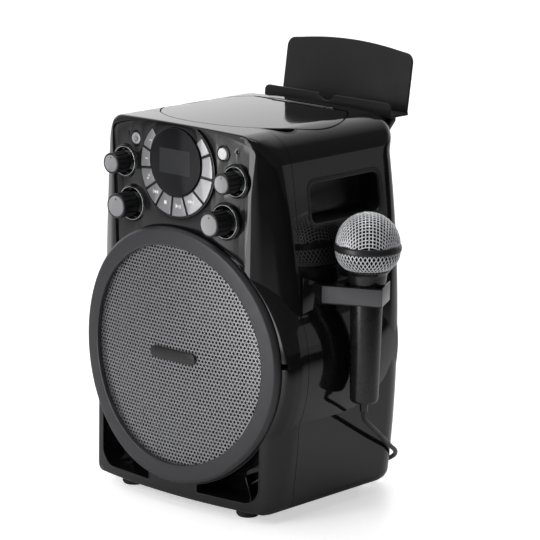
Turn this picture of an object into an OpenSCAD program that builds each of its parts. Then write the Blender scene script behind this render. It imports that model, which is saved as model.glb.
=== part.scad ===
// Top-loading disc karaoke machine with side microphone and tablet cradle, millimetres, +Z up.
// The body frame has x = 0 on the symmetry plane, y = 0 at the front of the speaker ring, z = 0 on the table.
// Every sub-part is drawn in the body frame and then moved so that the origin is under the middle of the outline.

/* [Body] */
// Half width of the barrel body at its widest level
body_half_w = 111.5; // [108:0.5:114]
// Height of the widest level
belly_z = 130; // [120:1:140]
// Radius of the barrel curve of the sides
side_r = 1000; // [900:10:1400]
// Height of the underside above the table
body_bottom = 8; // [6:0.5:10]
// Height of the top at its middle
body_top = 331; // [329:0.5:334]
// Drop of the crowned top from its middle to the side
crown_drop = 5; // [3:0.5:6]
// Radius of the shoulders between top and sides
shoulder_r = 24; // [20:1:27]
// Radius of the lower edges
bottom_r = 9; // [6:1:10]
// Place of the rear wall
rear_y = 188; // [186:1:194]
// Radius of the upright rear corners
rear_corner_r = 30; // [24:1:32]
// Radius of the rear top edge
rear_top_r = 13; // [8:1:15]
// Place of the seam between the front and rear housings
seam_y = 42.5; // [41:0.5:44]
// Wall thickness of the housings
wall = 2.6; // [2.2:0.1:3]
// Plan radius of the bowed front
bow_r = 490; // [440:10:600]
// Half width of the bowed front above the speaker
cheek_top_x = 80; // [78:1:82]
// Half width of the bowed front below the speaker
cheek_low_x = 99; // [96:1:100]
// Where the upper cheek planes reach the reference depth, across
cheek_top_end = 104; // [103:0.5:106]
// Where the lower cheek planes reach the reference depth, across
cheek_low_end = 109; // [108:0.5:110]
// Reference depth of the cheek planes
cheek_end_y = 30; // [28:1:34]

/* [Speaker] */
// Height of the speaker axis
ring_z = 131.8; // [130:0.5:134]
// Outer radius of the trim ring
ring_r = 111; // [110:0.5:111.5]
// Inner radius of the trim ring
ring_in_r = 95; // [93:0.5:97]
// Thickness of the trim ring
ring_t = 5.5; // [5:0.5:6]
// Outer radius of the barrel shroud at its front lip
shroud_front_r = 112; // [112:0.5:113]
// Outer radius of the barrel shroud at the seam
shroud_r = 120; // [118:0.5:121]
// Place where the shroud has faded into the sides
shroud_fade_y = 174; // [172:1:176]
// Inner radius of the shroud lip behind the ring
lip_in_r = 105; // [104:0.5:107]
// Thickness of the perforated grille
grille_t = 0.8; // [0.6:0.1:1.2]
// Length of the blank badge bar
badge_l = 52; // [44:1:58]
// Height of the blank badge bar
badge_h = 10; // [8:0.5:12]
// Thickness of the blank badge bar
badge_t = 2.4; // [2:0.2:3]
// Place of the flat baffle that holds the driver
baffle_y = 22; // [21:0.5:24]
// Radius of the driver's mounting flange
flange_r = 86; // [82:0.5:90]
// Radius of the baffle hole
baffle_hole_r = 76; // [72:0.5:78]
// Outer radius of the cone
cone_r = 62; // [58:0.5:64]
// Depth of the cone
cone_depth = 24; // [20:1:28]
// Radius of the dust cap and voice coil
coil_r = 16; // [14:0.5:18]
// Depth of the basket behind the baffle
basket_depth = 44; // [40:1:50]
// Radius of the magnet
magnet_r = 42; // [36:1:46]
// Thickness of the magnet
magnet_t = 16; // [12:1:20]

/* [Front windows] */
// Outer edge of the triangular windows
window_x = 91.5; // [89:0.5:93]
// Lower edge of the triangular windows
window_z = 16; // [15:0.5:18]
// Radius of the windows' lower outer corner
window_r = 16; // [10:1:20]
// Depth of the windows behind the ring plane
window_y = 38; // [34:1:39]
// Radius of the speaker barrel seen in the windows
window_barrel_r = 112; // [112:0.5:112.5]

/* [Control panel] */
// Setback of the panel face at the middle
panel_y = 7.5; // [7:0.5:8.5]
// Thickness of the panel
panel_t = 2.5; // [2:0.25:3]
// Half width of the panel at its top corners
panel_top_x = 82; // [80:0.5:83]
// Height of the middle of the panel's corner arcs
panel_corner_z = 313; // [312:0.5:314]
// Half width of the panel at its lower end
panel_low_x = 73; // [71:0.5:75]
// Height of the panel's lower end
panel_low_z = 205; // [200:1:212]
// Gap between the arched panel top and the top of the body
hood_gap = 1.6; // [1.4:0.2:2.4]
// Extra drop of the arched panel top towards its corners
hood_drop = 9; // [7:0.5:10]
// Radius of the panel's top corners
panel_corner_r = 8; // [7:0.5:9]
// Clearance around the panel and the other inserts
insert_gap = 0.2; // [0.1:0.05:0.3]

/* [Knobs] */
// Distance of the upper knobs from the middle
knob_up_x = 63.3; // [62.5:0.1:64]
// Height of the upper knobs
knob_up_z = 290; // [289:0.5:291]
// Radius of the upper knobs
knob_up_r = 9; // [8.5:0.1:9.5]
// Length of the upper knobs
knob_up_l = 17; // [15:0.5:19]
// Distance of the lower knobs from the middle
knob_low_x = 53.5; // [53:0.1:55]
// Height of the lower knobs
knob_low_z = 255; // [254:0.5:256]
// Radius of the lower knobs
knob_low_r = 10.6; // [10:0.1:11]
// Length of the lower knobs
knob_low_l = 19.4; // [18:0.5:21]
// Radius of the knob shafts
shaft_r = 3; // [2.8:0.1:3.1]
// Running clearance of the shafts
shaft_gap = 0.05; // [0.03:0.01:0.08]
// Width of the dish around a knob
dish_w = 5.4; // [4.5:0.1:5.8]

/* [Dial] */
// Height of the dial's centre
dial_z = 293; // [292:0.5:294]
// Outer radius of the dial
dial_r = 42.5; // [42:0.1:43]
// Setback of the dial's face at the middle
dial_y = 5.6; // [5:0.1:6]
// Height of the display window's centre
display_z = 298.5; // [298:0.5:299]
// Radius of the display window
display_r = 28.8; // [28:0.1:29]
// Width of the frame between the keys and the display
key_rim = 1.4; // [1.2:0.1:1.6]
// Clearance around a key
key_gap = 0.3; // [0.25:0.05:0.4]
// Travel of a key
key_travel = 0.8; // [0.6:0.1:1]
// Half of the dark bar between two keys
key_bar = 0.6; // [0.5:0.05:0.8]
// Distance of the power button from the middle
power_x = 49.5; // [49:0.1:50]
// Height of the two round buttons
round_key_z = 311.5; // [311:0.1:312]
// Radius of the two round buttons
round_key_r = 5; // [4.5:0.1:5.2]

/* [Disc lid] */
// Radius of the round lid
lid_r = 80; // [79:0.5:81]
// Place of the lid's centre
lid_y = 103; // [102:0.5:104]
// Place of the lid's straight rear edge
lid_rear_y = 162; // [161:0.5:163]
// Gap around the lid
lid_gap = 0.9; // [0.6:0.1:1.2]
// Thickness of the lid
lid_t = 2.4; // [2:0.2:3]
// Radius of the hinge barrel
hinge_r = 2.4; // [2.2:0.1:2.6]
// Radius of the hinge pin
pin_r = 1.2; // [1:0.1:1.3]
// Half length of the lid's hinge barrel
hinge_half = 30; // [26:1:34]
// Radius of the finger notch beside the lid
notch_r = 15; // [13:0.5:17]

/* [Disc drive] */
// Place of the disc's centre
disc_y = 98; // [97:0.5:99]
// Radius of the disc well
well_r = 61.5; // [61:0.25:62.5]
// Height of the deck
deck_z = 317; // [316:0.5:318]
// Height of the well's floor
well_z = 311; // [310:0.5:312]
// Thickness of the deck
deck_t = 2.4; // [2:0.2:3]
// Radius of the spindle's nose that takes the disc
spindle_r = 7.4; // [7.3:0.01:7.45]
// Radius of the turntable that the disc lies on
turntable_r = 14; // [12:0.5:16]
// Travel of the optical pickup
pickup_travel = 30; // [24:1:30]
// Radius of the two pickup rails
rail_r = 1.5; // [1.25:0.05:1.75]

/* [Handles] */
// Front end of the handle pockets
pocket_y0 = 58; // [56:0.5:60]
// Rear end of the handle pockets
pocket_y1 = 155; // [150:0.5:156]
// Lower edge of the handle pockets
pocket_z0 = 248; // [246:0.5:250]
// Upper edge of the handle pockets
pocket_z1 = 290; // [288:0.5:292]
// Corner radius of the handle pockets
pocket_r = 9; // [7:0.5:10]
// Depth of the handle pockets
pocket_depth = 25; // [22:0.5:28]
// Width of the pockets' stepped rim
pocket_rim = 4.5; // [3.5:0.5:5.5]

/* [Microphone] */
// Distance of the microphone's axis from the widest part of the side
mic_out = 23.5; // [23.5:0.1:24.5]
// Place of the microphone's axis, from the front
mic_y = 97; // [96:0.5:98]
// Height of the middle of the microphone's ball
ball_z = 234.4; // [233:0.2:236]
// Radius of the ball at its band
ball_r = 28.4; // [28:0.1:28.6]
// Height of the dark band round the ball
band_h = 5.8; // [5:0.2:7]
// Radius of the handle at its top
grip_top_r = 14; // [13.6:0.1:14.1]
// Radius of the handle at its lower end
grip_low_r = 12; // [11.5:0.1:12.5]
// Length of the handle from the holder's top to its lower end
grip_l = 103; // [98:0.5:104]
// Diameter of the microphone cord
cord_d = 4; // [3.6:0.1:4.4]

/* [Microphone holder] */
// Height of the holder's upper edge
holder_z = 202; // [200:0.5:203]
// Height of the holder's loop
holder_h = 16; // [14:0.5:18]
// Thickness of the holder's front strap
strap_t = 3; // [2.5:0.1:3.2]
// Thickness of the holder's other walls
holder_t = 2.2; // [2:0.1:2.4]
// Turn of the front strap from straight across
strap_turn = 27; // [25:0.5:29]
// Gap between the handle and the strap
strap_gap = 0.5; // [0.4:0.1:0.8]

/* [Tablet cradle] */
// Half width of the cradle
cradle_half_w = 72.6; // [70:0.2:75]
// Place of the front lip
cradle_y = 198; // [196:0.5:200]
// Height of the cradle's underside
cradle_z = 321.5; // [320:0.5:323]
// Depth of the shelf
shelf_d = 23; // [20:0.5:26]
// Height of the lip
lip_h = 13; // [10:0.5:15]
// Thickness of the cradle's walls
cradle_t = 2.4; // [2:0.1:2.8]
// Height of the plate's corners above the shelf
plate_h = 51; // [48:1:56]
// Rise of the plate's arched top
plate_arch = 7; // [5:0.5:9]
// Lean of the back plate, degrees
plate_lean = 8; // [5:0.5:12]
// Radius of the thumb notch in the lip
thumb_r = 10; // [8:0.5:12]
// Half width of the cradle's foot in its socket
tongue_half_w = 20; // [16:0.5:24]

/* [Feet] */
// Distance of the feet from the middle
foot_x = 67.3; // [66:0.1:69]
// Place of the front feet
foot_front_y = 28.3; // [27:0.1:30]
// Place of the rear feet
foot_rear_y = 159.4; // [157:0.1:161]
// Radius of the feet
foot_r = 10; // [9:0.5:11]

/* [Hidden] */
$fn = 64;

// The origin lies under the middle of the outline: shroud to microphone, lower knobs to cradle.
front_y = ring_t;
mic_x = body_half_w + mic_out;
dish_proud = 2.2;
knob_low_base = panel_y + bow(knob_low_x) - dish_proud;
knob_up_base = panel_y + bow(knob_up_x) - dish_proud;
plate_top_y = cradle_y + shelf_d + (plate_h + plate_arch) * sin(plate_lean) + cradle_t * cos(plate_lean);
origin_x = (mic_x + ball_r - shroud_r) / 2;
origin_y = (plate_top_y + knob_low_base - knob_low_l) / 2;

// Places that follow from the driving dimensions.
far = 400;
floor_z = body_bottom + wall;
panel_back_y = panel_y + panel_t;
board_y = 15;
board_t = 1.6;
key_face_y = dial_y - 0.9;
key_rear_y = board_y - 3.8;
key_outer_r = dial_r - 1.6;
key_inner_r = display_r + key_rim;
hinge_y = lid_rear_y + 1.4;
hinge_z = body_top - hinge_r - 0.1;
key_dividers = [46.7, 23.3, -6.9, -39.2, -69, -95.9, -122.8, -146.8, -173.3, -199.7, -229.4];

module placed() translate([-origin_x, -origin_y, 0]) children();

// A flat (x, z) shape drawn through the body from y0 to y1.
module along_y(y0, y1) translate([0, y1, 0]) rotate([90, 0, 0]) linear_extrude(height = y1 - y0) children();

// A flat (y, z) shape drawn across the body from x0 to x1.
module along_x(x0, x1) translate([x0, 0, 0]) rotate([90, 0, 90]) linear_extrude(height = x1 - x0) children();

// A round bar along y with its middle at (x, z).
module rod_y(x, z, r, y0, y1) translate([x, y0, z]) rotate([-90, 0, 0]) cylinder(r = r, h = y1 - y0);

// A round bar along x with its middle at (y, z).
module rod_x(y, z, r, x0, x1) translate([x0, y, z]) rotate([0, 90, 0]) cylinder(r = r, h = x1 - x0);

// A block given by its two corners.
module block(a, b) translate(a) cube(b - a);

// A rectangle with round corners, given by its two corners.
module round_rect(a, b, r) {
    translate([a[0] + r, a[1]]) square([b[0] - a[0] - 2 * r, b[1] - a[1]]);
    translate([a[0], a[1] + r]) square([b[0] - a[0], b[1] - a[1] - 2 * r]);
    for (x = [a[0] + r, b[0] - r])
        for (y = [a[1] + r, b[1] - r])
            translate([x, y]) circle(r = r);
}

// Outline of the barrel body, seen from the front. All outlines take an inset for the inside of the wall.
function side_x(z) = body_half_w - pow(z - belly_z, 2) / (2 * side_r);
function crown(x) = crown_drop * pow(x / body_half_w, 2);
function fillet_in(r, a) = r * (1 - cos(a));
function half_front(i) = concat(
    [for (a = [90:-15:15])
        let (r = bottom_r - i / 2, z = body_bottom + i + r * (1 - sin(a)))
        [side_x(z) - i - fillet_in(r, a), z]],
    [for (k = [0:12])
        let (z0 = body_bottom + i / 2 + bottom_r, z1 = body_top - shoulder_r - crown_drop)
        let (z = z0 + (z1 - z0) * k / 12)
        [side_x(z) - i, z]],
    [for (a = [10:10:90])
        let (r = shoulder_r - i / 2, z = body_top - i - r + r * sin(a), x = side_x(z) - i - fillet_in(r, a))
        [x, z - crown(x) * sin(a) - crown_drop * (1 - sin(a)) * 0.75]],
    [for (k = [1:4])
        let (x = (body_half_w - shoulder_r) * (1 - k / 4) * 0.84)
        [x, body_top - i - crown(x)]]
);
module front_outline(i = 0) {
    pts = half_front(i);
    polygon(concat(pts, [for (k = [len(pts) - 2:-1:0]) [-pts[k][0], pts[k][1]]]));
}

// Outline of the body from the side: level underside and top, round rear edges.
module side_outline(i = 0) {
    r1 = rear_top_r - i / 2;
    r0 = bottom_r - i / 2;
    polygon(concat(
        [[-20, body_bottom + i], [rear_y - i - r0, body_bottom + i]],
        [for (a = [15:15:90]) [rear_y - i - r0 + r0 * sin(a), body_bottom + i + r0 * (1 - cos(a))]],
        [for (a = [0:15:90]) [rear_y - i - r1 + r1 * cos(a), body_top - i - r1 + r1 * sin(a)]],
        [[-20, body_top - i]]
    ));
}

// Plan of the body: bowed front, cheeks that turn to the sides, round rear corners.
function bow(x) = bow_r - sqrt(bow_r * bow_r - x * x);
module plan_outline(cheek_x, cheek_end, i = 0) {
    reach = 1.6;
    start_y = front_y + bow(cheek_x);
    end = [cheek_x + (cheek_end - cheek_x) * reach, start_y + (cheek_end_y - start_y) * reach];
    half = concat(
        [for (k = [0:12]) let (x = cheek_x * k / 12) [x, front_y + i + bow(x)]],
        [[end[0], end[1] + i * 1.3], [body_half_w - i, end[1] + i * 1.3]],
        [for (a = [0:15:90]) [
            body_half_w - rear_corner_r + (rear_corner_r - i) * cos(a),
            rear_y - rear_corner_r + (rear_corner_r - i) * sin(a)
        ]]
    );
    polygon(concat(half, [for (k = [len(half) - 1:-1:1]) [-half[k][0], half[k][1]]]));
}

// The upright rear corners are trimmed on both diagonals by the same barrel curve, s = 1 on the right.
module diagonal(s, i) {
    r = rear_corner_r;
    function reach(z) = (side_x(z) + rear_y - 2 * r) * sin(45) + r - i;
    pts = concat(
        [for (a = [90:-30:0]) let (z = body_bottom + i + bottom_r * (1 - sin(a)))
            [reach(z) - fillet_in(bottom_r, a), z]],
        [for (k = [1:9]) let (z = body_bottom + bottom_r + (body_top - shoulder_r - body_bottom - bottom_r) * k / 10)
            [reach(z), z]],
        [for (a = [0:15:75]) let (z = body_top - i - shoulder_r + shoulder_r * sin(a))
            [reach(z) - fillet_in(shoulder_r, a) * 0.8, z - crown_drop * 0.5]],
        [[0, body_top + 5], [-far, body_top + 5], [-far, body_bottom - 5], [0, body_bottom - 5]]
    );
    rotate([0, 0, s > 0 ? 45 : 135]) translate([0, far, 0]) rotate([90, 0, 0])
        linear_extrude(height = 2 * far) polygon(pts);
}

// The whole body as one solid, i = 0 for the outside and i = wall for the inside.
module barrel(cheek_x, cheek_end, i) {
    intersection() {
        along_y(-10, far) front_outline(i);
        linear_extrude(height = far) plan_outline(cheek_x, cheek_end, i);
        along_x(-far, far) side_outline(i);
        diagonal(1, i);
        diagonal(-1, i);
    }
}
module body_solid(i = 0) {
    intersection() {
        barrel(cheek_top_x, cheek_top_end, i);
        block([-far, -far, ring_z], [far, far, far]);
    }
    intersection() {
        barrel(cheek_low_x, cheek_low_end, i);
        block([-far, -far, -1], [far, far, ring_z]);
    }
    shroud(i);
}

// Behind the seam: distance from where the shroud has faded out, and how much narrower it is there.
bulge = [[84, 0], [54, 1.2], [34, 3.2], [19, 6.2], [9, 8.7]];
module shroud(i) {
    difference() {
        translate([0, 0, ring_z]) rotate([-90, 0, 0]) rotate_extrude($fn = 120) polygon([
            [0, front_y + i], [shroud_front_r - 1 - i, front_y + i], [shroud_front_r - i, 13],
            [shroud_r - 5.5 - i, 18], [shroud_r - 1.3 - i, 26], [shroud_r - i, 34], [shroud_r - i, seam_y],
            for (p = bulge) [shroud_r - p[1] - i, shroud_fade_y - p[0]],
            [body_half_w - 6.5 - i, shroud_fade_y], [0, shroud_fade_y]
        ]);
        before_bow(front_y + i);
    }
}

// The slab in front of a bowed surface that lies at y0 on the symmetry plane.
module before_bow(y0) translate([0, 0, -1]) linear_extrude(height = far)
    polygon(concat([[-130, -60], [130, -60]], [for (k = [13:-1:-13]) [k * 10, y0 + bow(k * 10)]]));
module bow_slab(y0, y1) {
    difference() {
        before_bow(y1);
        before_bow(y0);
    }
}

// Right half of a symmetrical (x, z) outline turned into the whole outline.
module both_sides(pts) polygon(concat(pts, [for (k = [len(pts) - 1:-1:0]) [-pts[k][0], pts[k][1]]]));
module mirrored() {
    children();
    mirror([1, 0, 0]) children();
}

// The panel's outline grown by d, and the dial inside it.
function panel_top_z(x) = body_top - hood_gap - crown(x) - hood_drop * pow(x / panel_top_x, 4);
module panel_shape(d) {
    cx = panel_top_x - panel_corner_r;
    difference() {
        both_sides(concat(
            [[panel_low_x + d, panel_low_z - d]],
            [for (a = [0:15:75]) [cx + (panel_corner_r + d) * cos(a), panel_corner_z + (panel_corner_r + d) * sin(a)]],
            [for (x = [66, 56, 46, 34, 22, 8]) [x, panel_top_z(x) + d]]
        ));
        translate([0, ring_z]) circle(r = ring_r - 3 - d, $fn = 120);
    }
}
module dial_shape(r, d = 0) {
    intersection() {
        translate([0, dial_z]) circle(r = r, $fn = 120);
        panel_shape(d - insert_gap);
    }
}

// One key of the dial grown by d: a sector between the dial's rim and the display.
module key_shape(k, d) {
    g = key_bar + key_gap - d;
    a1 = key_dividers[k];
    a0 = key_dividers[k + 1];
    mid = (a0 + a1) / 2;
    tip = g / sin((a1 - a0) / 2);
    tx = tip * cos(mid);
    tz = dial_z + tip * sin(mid);
    intersection() {
        difference() {
            translate([0, dial_z]) circle(r = key_outer_r + d, $fn = 120);
            translate([0, display_z]) circle(r = key_inner_r - d, $fn = 120);
        }
        polygon([
            [tx, tz], [tx + 80 * cos(a0), tz + 80 * sin(a0)],
            [tx + 80 * cos(mid), tz + 80 * sin(mid)], [tx + 80 * cos(a1), tz + 80 * sin(a1)]
        ]);
    }
}

// The triangular windows beside the speaker's lower half.
module window_shape(d) {
    difference() {
        round_rect([28 - d, window_z - d], [window_x + d, 90], window_r);
        translate([0, ring_z]) circle(r = window_barrel_r - d, $fn = 120);
    }
}

// The opening for the disc lid, grown by d.
module lid_shape(r, y1) {
    intersection() {
        translate([0, lid_y]) circle(r = r, $fn = 120);
        translate([-far, 0]) square([2 * far, y1]);
    }
}
opening_rear_y = lid_rear_y + 2;
module lid_opening(z0) {
    translate([0, 0, z0]) linear_extrude(height = far) lid_shape(lid_r + lid_gap, opening_rear_y);
    block([-knuckle_out, lid_rear_y - 8, z0], [knuckle_out, hinge_y + hinge_r + 0.5, far]);
}
knuckle_in = hinge_half + 0.4;
knuckle_out = hinge_half + 8;

// The finger notch lies beside the lid, on the right and in front.
notch_dir = -33.3;
module notch(r, z0, z1) {
    d = lid_r - 6;
    translate([d * cos(notch_dir), lid_y + d * sin(notch_dir), z0]) cylinder(r = r, h = z1 - z0);
}

// Housings.
module shell() {
    difference() {
        body_solid(0);
        body_solid(wall);
    }
}
tube_r = lip_in_r + wall;
module front_housing() {
    color([0.05, 0.05, 0.055])
    difference() {
        union() {
            intersection() {
                shell();
                block([-far, -far, 0], [far, seam_y, far]);
            }
            intersection() {
                union() {
                    along_y(0, panel_back_y + 16) panel_shape(wall);
                    along_y(0, baffle_y + wall) translate([0, ring_z]) circle(r = tube_r, $fn = 120);
                    mirrored() along_y(0, window_y + wall) window_shape(wall);
                }
                body_solid(wall / 2);
                union() {
                    bow_slab(0, panel_back_y + wall);
                    along_y(0, baffle_y + wall) translate([0, ring_z]) circle(r = tube_r, $fn = 120);
                    mirrored() along_y(0, window_y + wall) window_shape(wall);
                }
            }
        }
        intersection() {
            along_y(-1, 60) panel_shape(0);
            before_bow(panel_back_y);
        }
        along_y(-1, 40) panel_shape(-3);
        rod_y(0, ring_z, lip_in_r, -1, baffle_y, $fn = 120);
        rod_y(0, ring_z, baffle_hole_r, 0, 60, $fn = 120);
        mirrored() along_y(-1, window_y) window_shape(0);
        mirrored() side_slot();
        translate([0, 0, body_top - 20]) linear_extrude(height = far) lid_shape(lid_r + lid_gap, 100);
    }
    color([0.05, 0.05, 0.055]) mirrored() {
        along_y(28, window_y + 1) translate([window_x - 22, window_z - 1]) rotate([0, 0, 20]) square([1.6, 20]);
        along_y(28, window_y + 1) translate([window_x - 22, window_z + 12]) rotate([0, 0, -55]) square([1.6, 25]);
    }
}
module side_slot() {
    translate([shroud_r - 12, 19, ring_z + 8]) rotate([0, 90, 0]) linear_extrude(height = 16)
        round_rect([-2.6, -3.5], [2.6, 3.5], 2.5);
}

module rear_housing() {
    color([0.05, 0.05, 0.055])
    difference() {
        union() {
            intersection() {
                shell();
                block([-far, seam_y, 0], [far, far, far]);
            }
            intersection() {
                notch(notch_r + wall, notch_floor - wall, far);
                body_solid(0);
                block([-far, seam_y, 0], [far, far, far]);
            }
            knuckles();
            for (p = board_posts)
                translate([p[0], p[1], floor_z - 1]) cylinder(r = 3.5, h = main_board_z - floor_z + 1);
        }
        difference() {
            lid_opening(body_top - 24);
            knuckles();
        }
        notch(notch_r, notch_floor, far);
        mirrored() along_x(body_half_w - 30, far) pocket_outline(insert_gap);
        along_y(rear_y - wall - 1, rear_y + 1) round_rect([-jack_half_w, jack_z0], [jack_half_w, jack_z1], 4);
        rod_x(hinge_y, hinge_z, pin_r, -knuckle_out - 1, knuckle_out + 1);
        for (p = screw_places)
            rod_y(p[0], p[1], 1.5, rear_y - 10, rear_y + 1);
    }
}
notch_floor = body_top - 9;
// The two fixed knuckles beside the lid's hinge barrel.
knuckle_back = hinge_y + hinge_r + 3;
module knuckles() {
    for (x = [-knuckle_out, knuckle_in]) {
        rod_x(hinge_y, hinge_z, hinge_r, x, x + knuckle_out - knuckle_in);
        block([x, hinge_y, hinge_z - hinge_r], [x + knuckle_out - knuckle_in, knuckle_back, hinge_z + 0.4]);
    }
}
main_board_z = 18;
board_posts = [[4, 108], [84, 108], [4, 160], [84, 160]];
screw_places = [[-68, 40], [68, 40], [-68, 284], [68, 284]];
jack_half_w = 44;
jack_z0 = 56;
jack_z1 = 96;

// Speaker.
module ring_disc(r0, r1, y0, y1) {
    intersection() {
        difference() {
            rod_y(0, ring_z, r1, -20, 60, $fn = 120);
            rod_y(0, ring_z, r0, -30, 70, $fn = 120);
        }
        bow_slab(y0, y1);
    }
}
// The ring is glued on with a thin film behind it.
ring_seat = 0.05;
module speaker_ring() {
    color([0.26, 0.25, 0.27]) ring_disc(ring_in_r, ring_r, 0, ring_t - ring_seat);
}
module speaker_grille() {
    color([0.55, 0.55, 0.56])
    difference() {
        intersection() {
            rod_y(0, ring_z, lip_in_r - 0.3, -20, 60, $fn = 120);
            bow_slab(ring_t, ring_t + grille_t);
        }
        mirrored() for (x = [-38, -19, 0, 19, 38]) rod_y(x, ring_z - badge_h / 2 - 30, 1.15, 0, 20);
        for (x = [-18, 18]) rod_y(x, ring_z, 1.5, 0, 20);
    }
}
module grille_badge() {
    color([0.12, 0.12, 0.13])
    intersection() {
        along_y(-2, 12) round_rect([-badge_l / 2, ring_z - badge_h / 2], [badge_l / 2, ring_z + badge_h / 2],
            badge_h / 2 - 0.1);
        union() {
            bow_slab(ring_t - badge_t, ring_t);
            for (x = [-18, 18]) rod_y(x, ring_z, 1.45, ring_t, ring_t + 3);
        }
    }
}
basket_back_y = baffle_y + basket_depth;
module driver_basket() {
    color([0.16, 0.16, 0.17])
    translate([0, 0, ring_z]) rotate([-90, 0, 0])
    difference() {
        rotate_extrude($fn = 120) polygon([
            [cone_r + 6, baffle_y - 2], [flange_r, baffle_y - 2], [flange_r, baffle_y],
            [baffle_hole_r - 0.4, baffle_y], [baffle_hole_r - 0.4, baffle_y + 4],
            [magnet_r - 1, basket_back_y - 8], [magnet_r - 1, basket_back_y], [coil_r + 4, basket_back_y],
            [coil_r + 4, basket_back_y - 2], [magnet_r - 3, basket_back_y - 2],
            [magnet_r - 3, basket_back_y - 9], [baffle_hole_r - 3, baffle_y + 3], [cone_r + 6, baffle_y]
        ]);
        for (a = [0:60:300])
            rotate([0, 0, a]) translate([baffle_hole_r - 20, -9, baffle_y + 10]) cube([40, 18, 20]);
        for (a = [45:90:315])
            rotate([0, 0, a]) translate([flange_r - 5, 0, 0]) cylinder(r = 2.2, h = 60);
    }
}
module driver_surround() {
    color([0.07, 0.07, 0.07])
    translate([0, 0, ring_z]) rotate([-90, 0, 0]) rotate_extrude($fn = 120) polygon([
        [cone_r + 0.4, baffle_y - 2], [cone_r + 0.8, baffle_y - 5], [cone_r + 3.5, baffle_y - 7],
        [cone_r + 7, baffle_y - 7], [cone_r + 9.5, baffle_y - 5], [cone_r + 10, baffle_y - 3.2],
        [cone_r + 14, baffle_y - 3.2], [cone_r + 14, baffle_y - 2], [cone_r + 8.8, baffle_y - 2],
        [cone_r + 8.3, baffle_y - 4.4], [cone_r + 6.5, baffle_y - 5.8], [cone_r + 4, baffle_y - 5.8],
        [cone_r + 2, baffle_y - 4.4], [cone_r + 1.6, baffle_y - 2]
    ]);
}
module driver_cone() {
    color([0.1, 0.1, 0.11])
    translate([0, 0, ring_z]) rotate([-90, 0, 0]) rotate_extrude($fn = 120) polygon([
        [cone_r, baffle_y - 2], [coil_r + 12, baffle_y + cone_depth * 0.55], [coil_r, baffle_y + cone_depth],
        [coil_r * 0.75, baffle_y + cone_depth - 5], [coil_r * 0.4, baffle_y + cone_depth - 7.5],
        [0, baffle_y + cone_depth - 8.5], [0, baffle_y + cone_depth - 7.5],
        [coil_r * 0.4, baffle_y + cone_depth - 6.5], [coil_r * 0.7, baffle_y + cone_depth - 4],
        [coil_r - 1.2, baffle_y + cone_depth], [coil_r - 1.2, basket_back_y + 4], [coil_r - 0.6, basket_back_y + 4],
        [coil_r - 0.6, baffle_y + cone_depth + 1.2], [coil_r + 1, baffle_y + cone_depth + 1],
        [coil_r + 12.5, baffle_y + cone_depth * 0.55 + 1.2], [cone_r, baffle_y - 0.8]
    ]);
}
module driver_magnet() {
    color([0.3, 0.3, 0.32])
    difference() {
        rod_y(0, ring_z, magnet_r, basket_back_y, basket_back_y + magnet_t, $fn = 96);
        difference() {
            rod_y(0, ring_z, coil_r + 0.4, basket_back_y - 1, basket_back_y + 9, $fn = 96);
            rod_y(0, ring_z, coil_r - 2.2, basket_back_y - 2, basket_back_y + 10, $fn = 96);
        }
    }
}

// Control panel, knobs and their potentiometers.
module at_knobs() {
    for (s = [-1, 1]) {
        translate([s * knob_up_x, 0, knob_up_z]) children(0);
        translate([s * knob_low_x, 0, knob_low_z]) children(1);
    }
}
bushing_r = 4.5;
pot_low_y = board_y;
pot_up_y = board_y + 1;
module control_panel() {
    color([0.3, 0.3, 0.32])
    difference() {
        union() {
            intersection() {
                along_y(0, 40) panel_shape(-insert_gap);
                bow_slab(panel_y, panel_back_y);
            }
            at_knobs() {
                rod_y(0, 0, knob_up_r + dish_w, knob_up_base, pot_up_y);
                rod_y(0, 0, knob_low_r + dish_w, knob_low_base, pot_low_y);
            }
        }
        along_y(-5, 40) dial_shape(dial_r + insert_gap, 3);
        at_knobs() {
            rod_y(0, 0, bushing_r + 0.1, 0, 40);
            rod_y(0, 0, bushing_r + 0.1, 0, 40);
        }
        for (x = [-power_x, power_x]) rod_y(x, round_key_z, round_key_r + key_gap, 0, 40);
        rod_y(-59, round_key_z + 3.8, 0.9, 0, 40);
        rod_y(64, round_key_z + 2.9, 0.9, 0, 40);
    }
}
module bezel(r, y) {
    difference() {
        rod_y(0, 0, r, y - 0.9, y);
        rod_y(0, 0, r - 1.1, y - 2, y + 1);
    }
}
module knob_bezels() {
    color([0.75, 0.75, 0.77]) at_knobs() {
        bezel(knob_up_r + dish_w - 1.2, knob_up_base);
        bezel(knob_low_r + dish_w - 1.2, knob_low_base);
    }
}
module knob(r, l, base_y, shaft_y) {
    color([0.14, 0.14, 0.15]) difference() {
        rod_y(0, 0, r, base_y - l, base_y - 0.5, $fn = 72);
        for (a = [15:30:345])
            translate([(r + 0.7) * cos(a), base_y - l + 2.5, (r + 0.7) * sin(a)]) rotate([-90, 0, 0])
                cylinder(r = 1.3, h = l, $fn = 20);
        translate([-0.6, base_y - l - 1, r - 5]) cube([1.2, 1.5, 3.5]);
        rod_y(0, 0, bushing_r + 1, base_y - 4, base_y);
    }
    color([0.5, 0.5, 0.52]) rod_y(0, 0, shaft_r, base_y - 5, shaft_y + 6);
}
module knob_upper_left() translate([-knob_up_x, 0, knob_up_z]) knob(knob_up_r, knob_up_l, knob_up_base, pot_up_y);
module knob_upper_right() translate([knob_up_x, 0, knob_up_z]) knob(knob_up_r, knob_up_l, knob_up_base, pot_up_y);
module knob_lower_left() translate([-knob_low_x, 0, knob_low_z])
    knob(knob_low_r, knob_low_l, knob_low_base, pot_low_y);
module knob_lower_right() translate([knob_low_x, 0, knob_low_z])
    knob(knob_low_r, knob_low_l, knob_low_base, pot_low_y);
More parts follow.
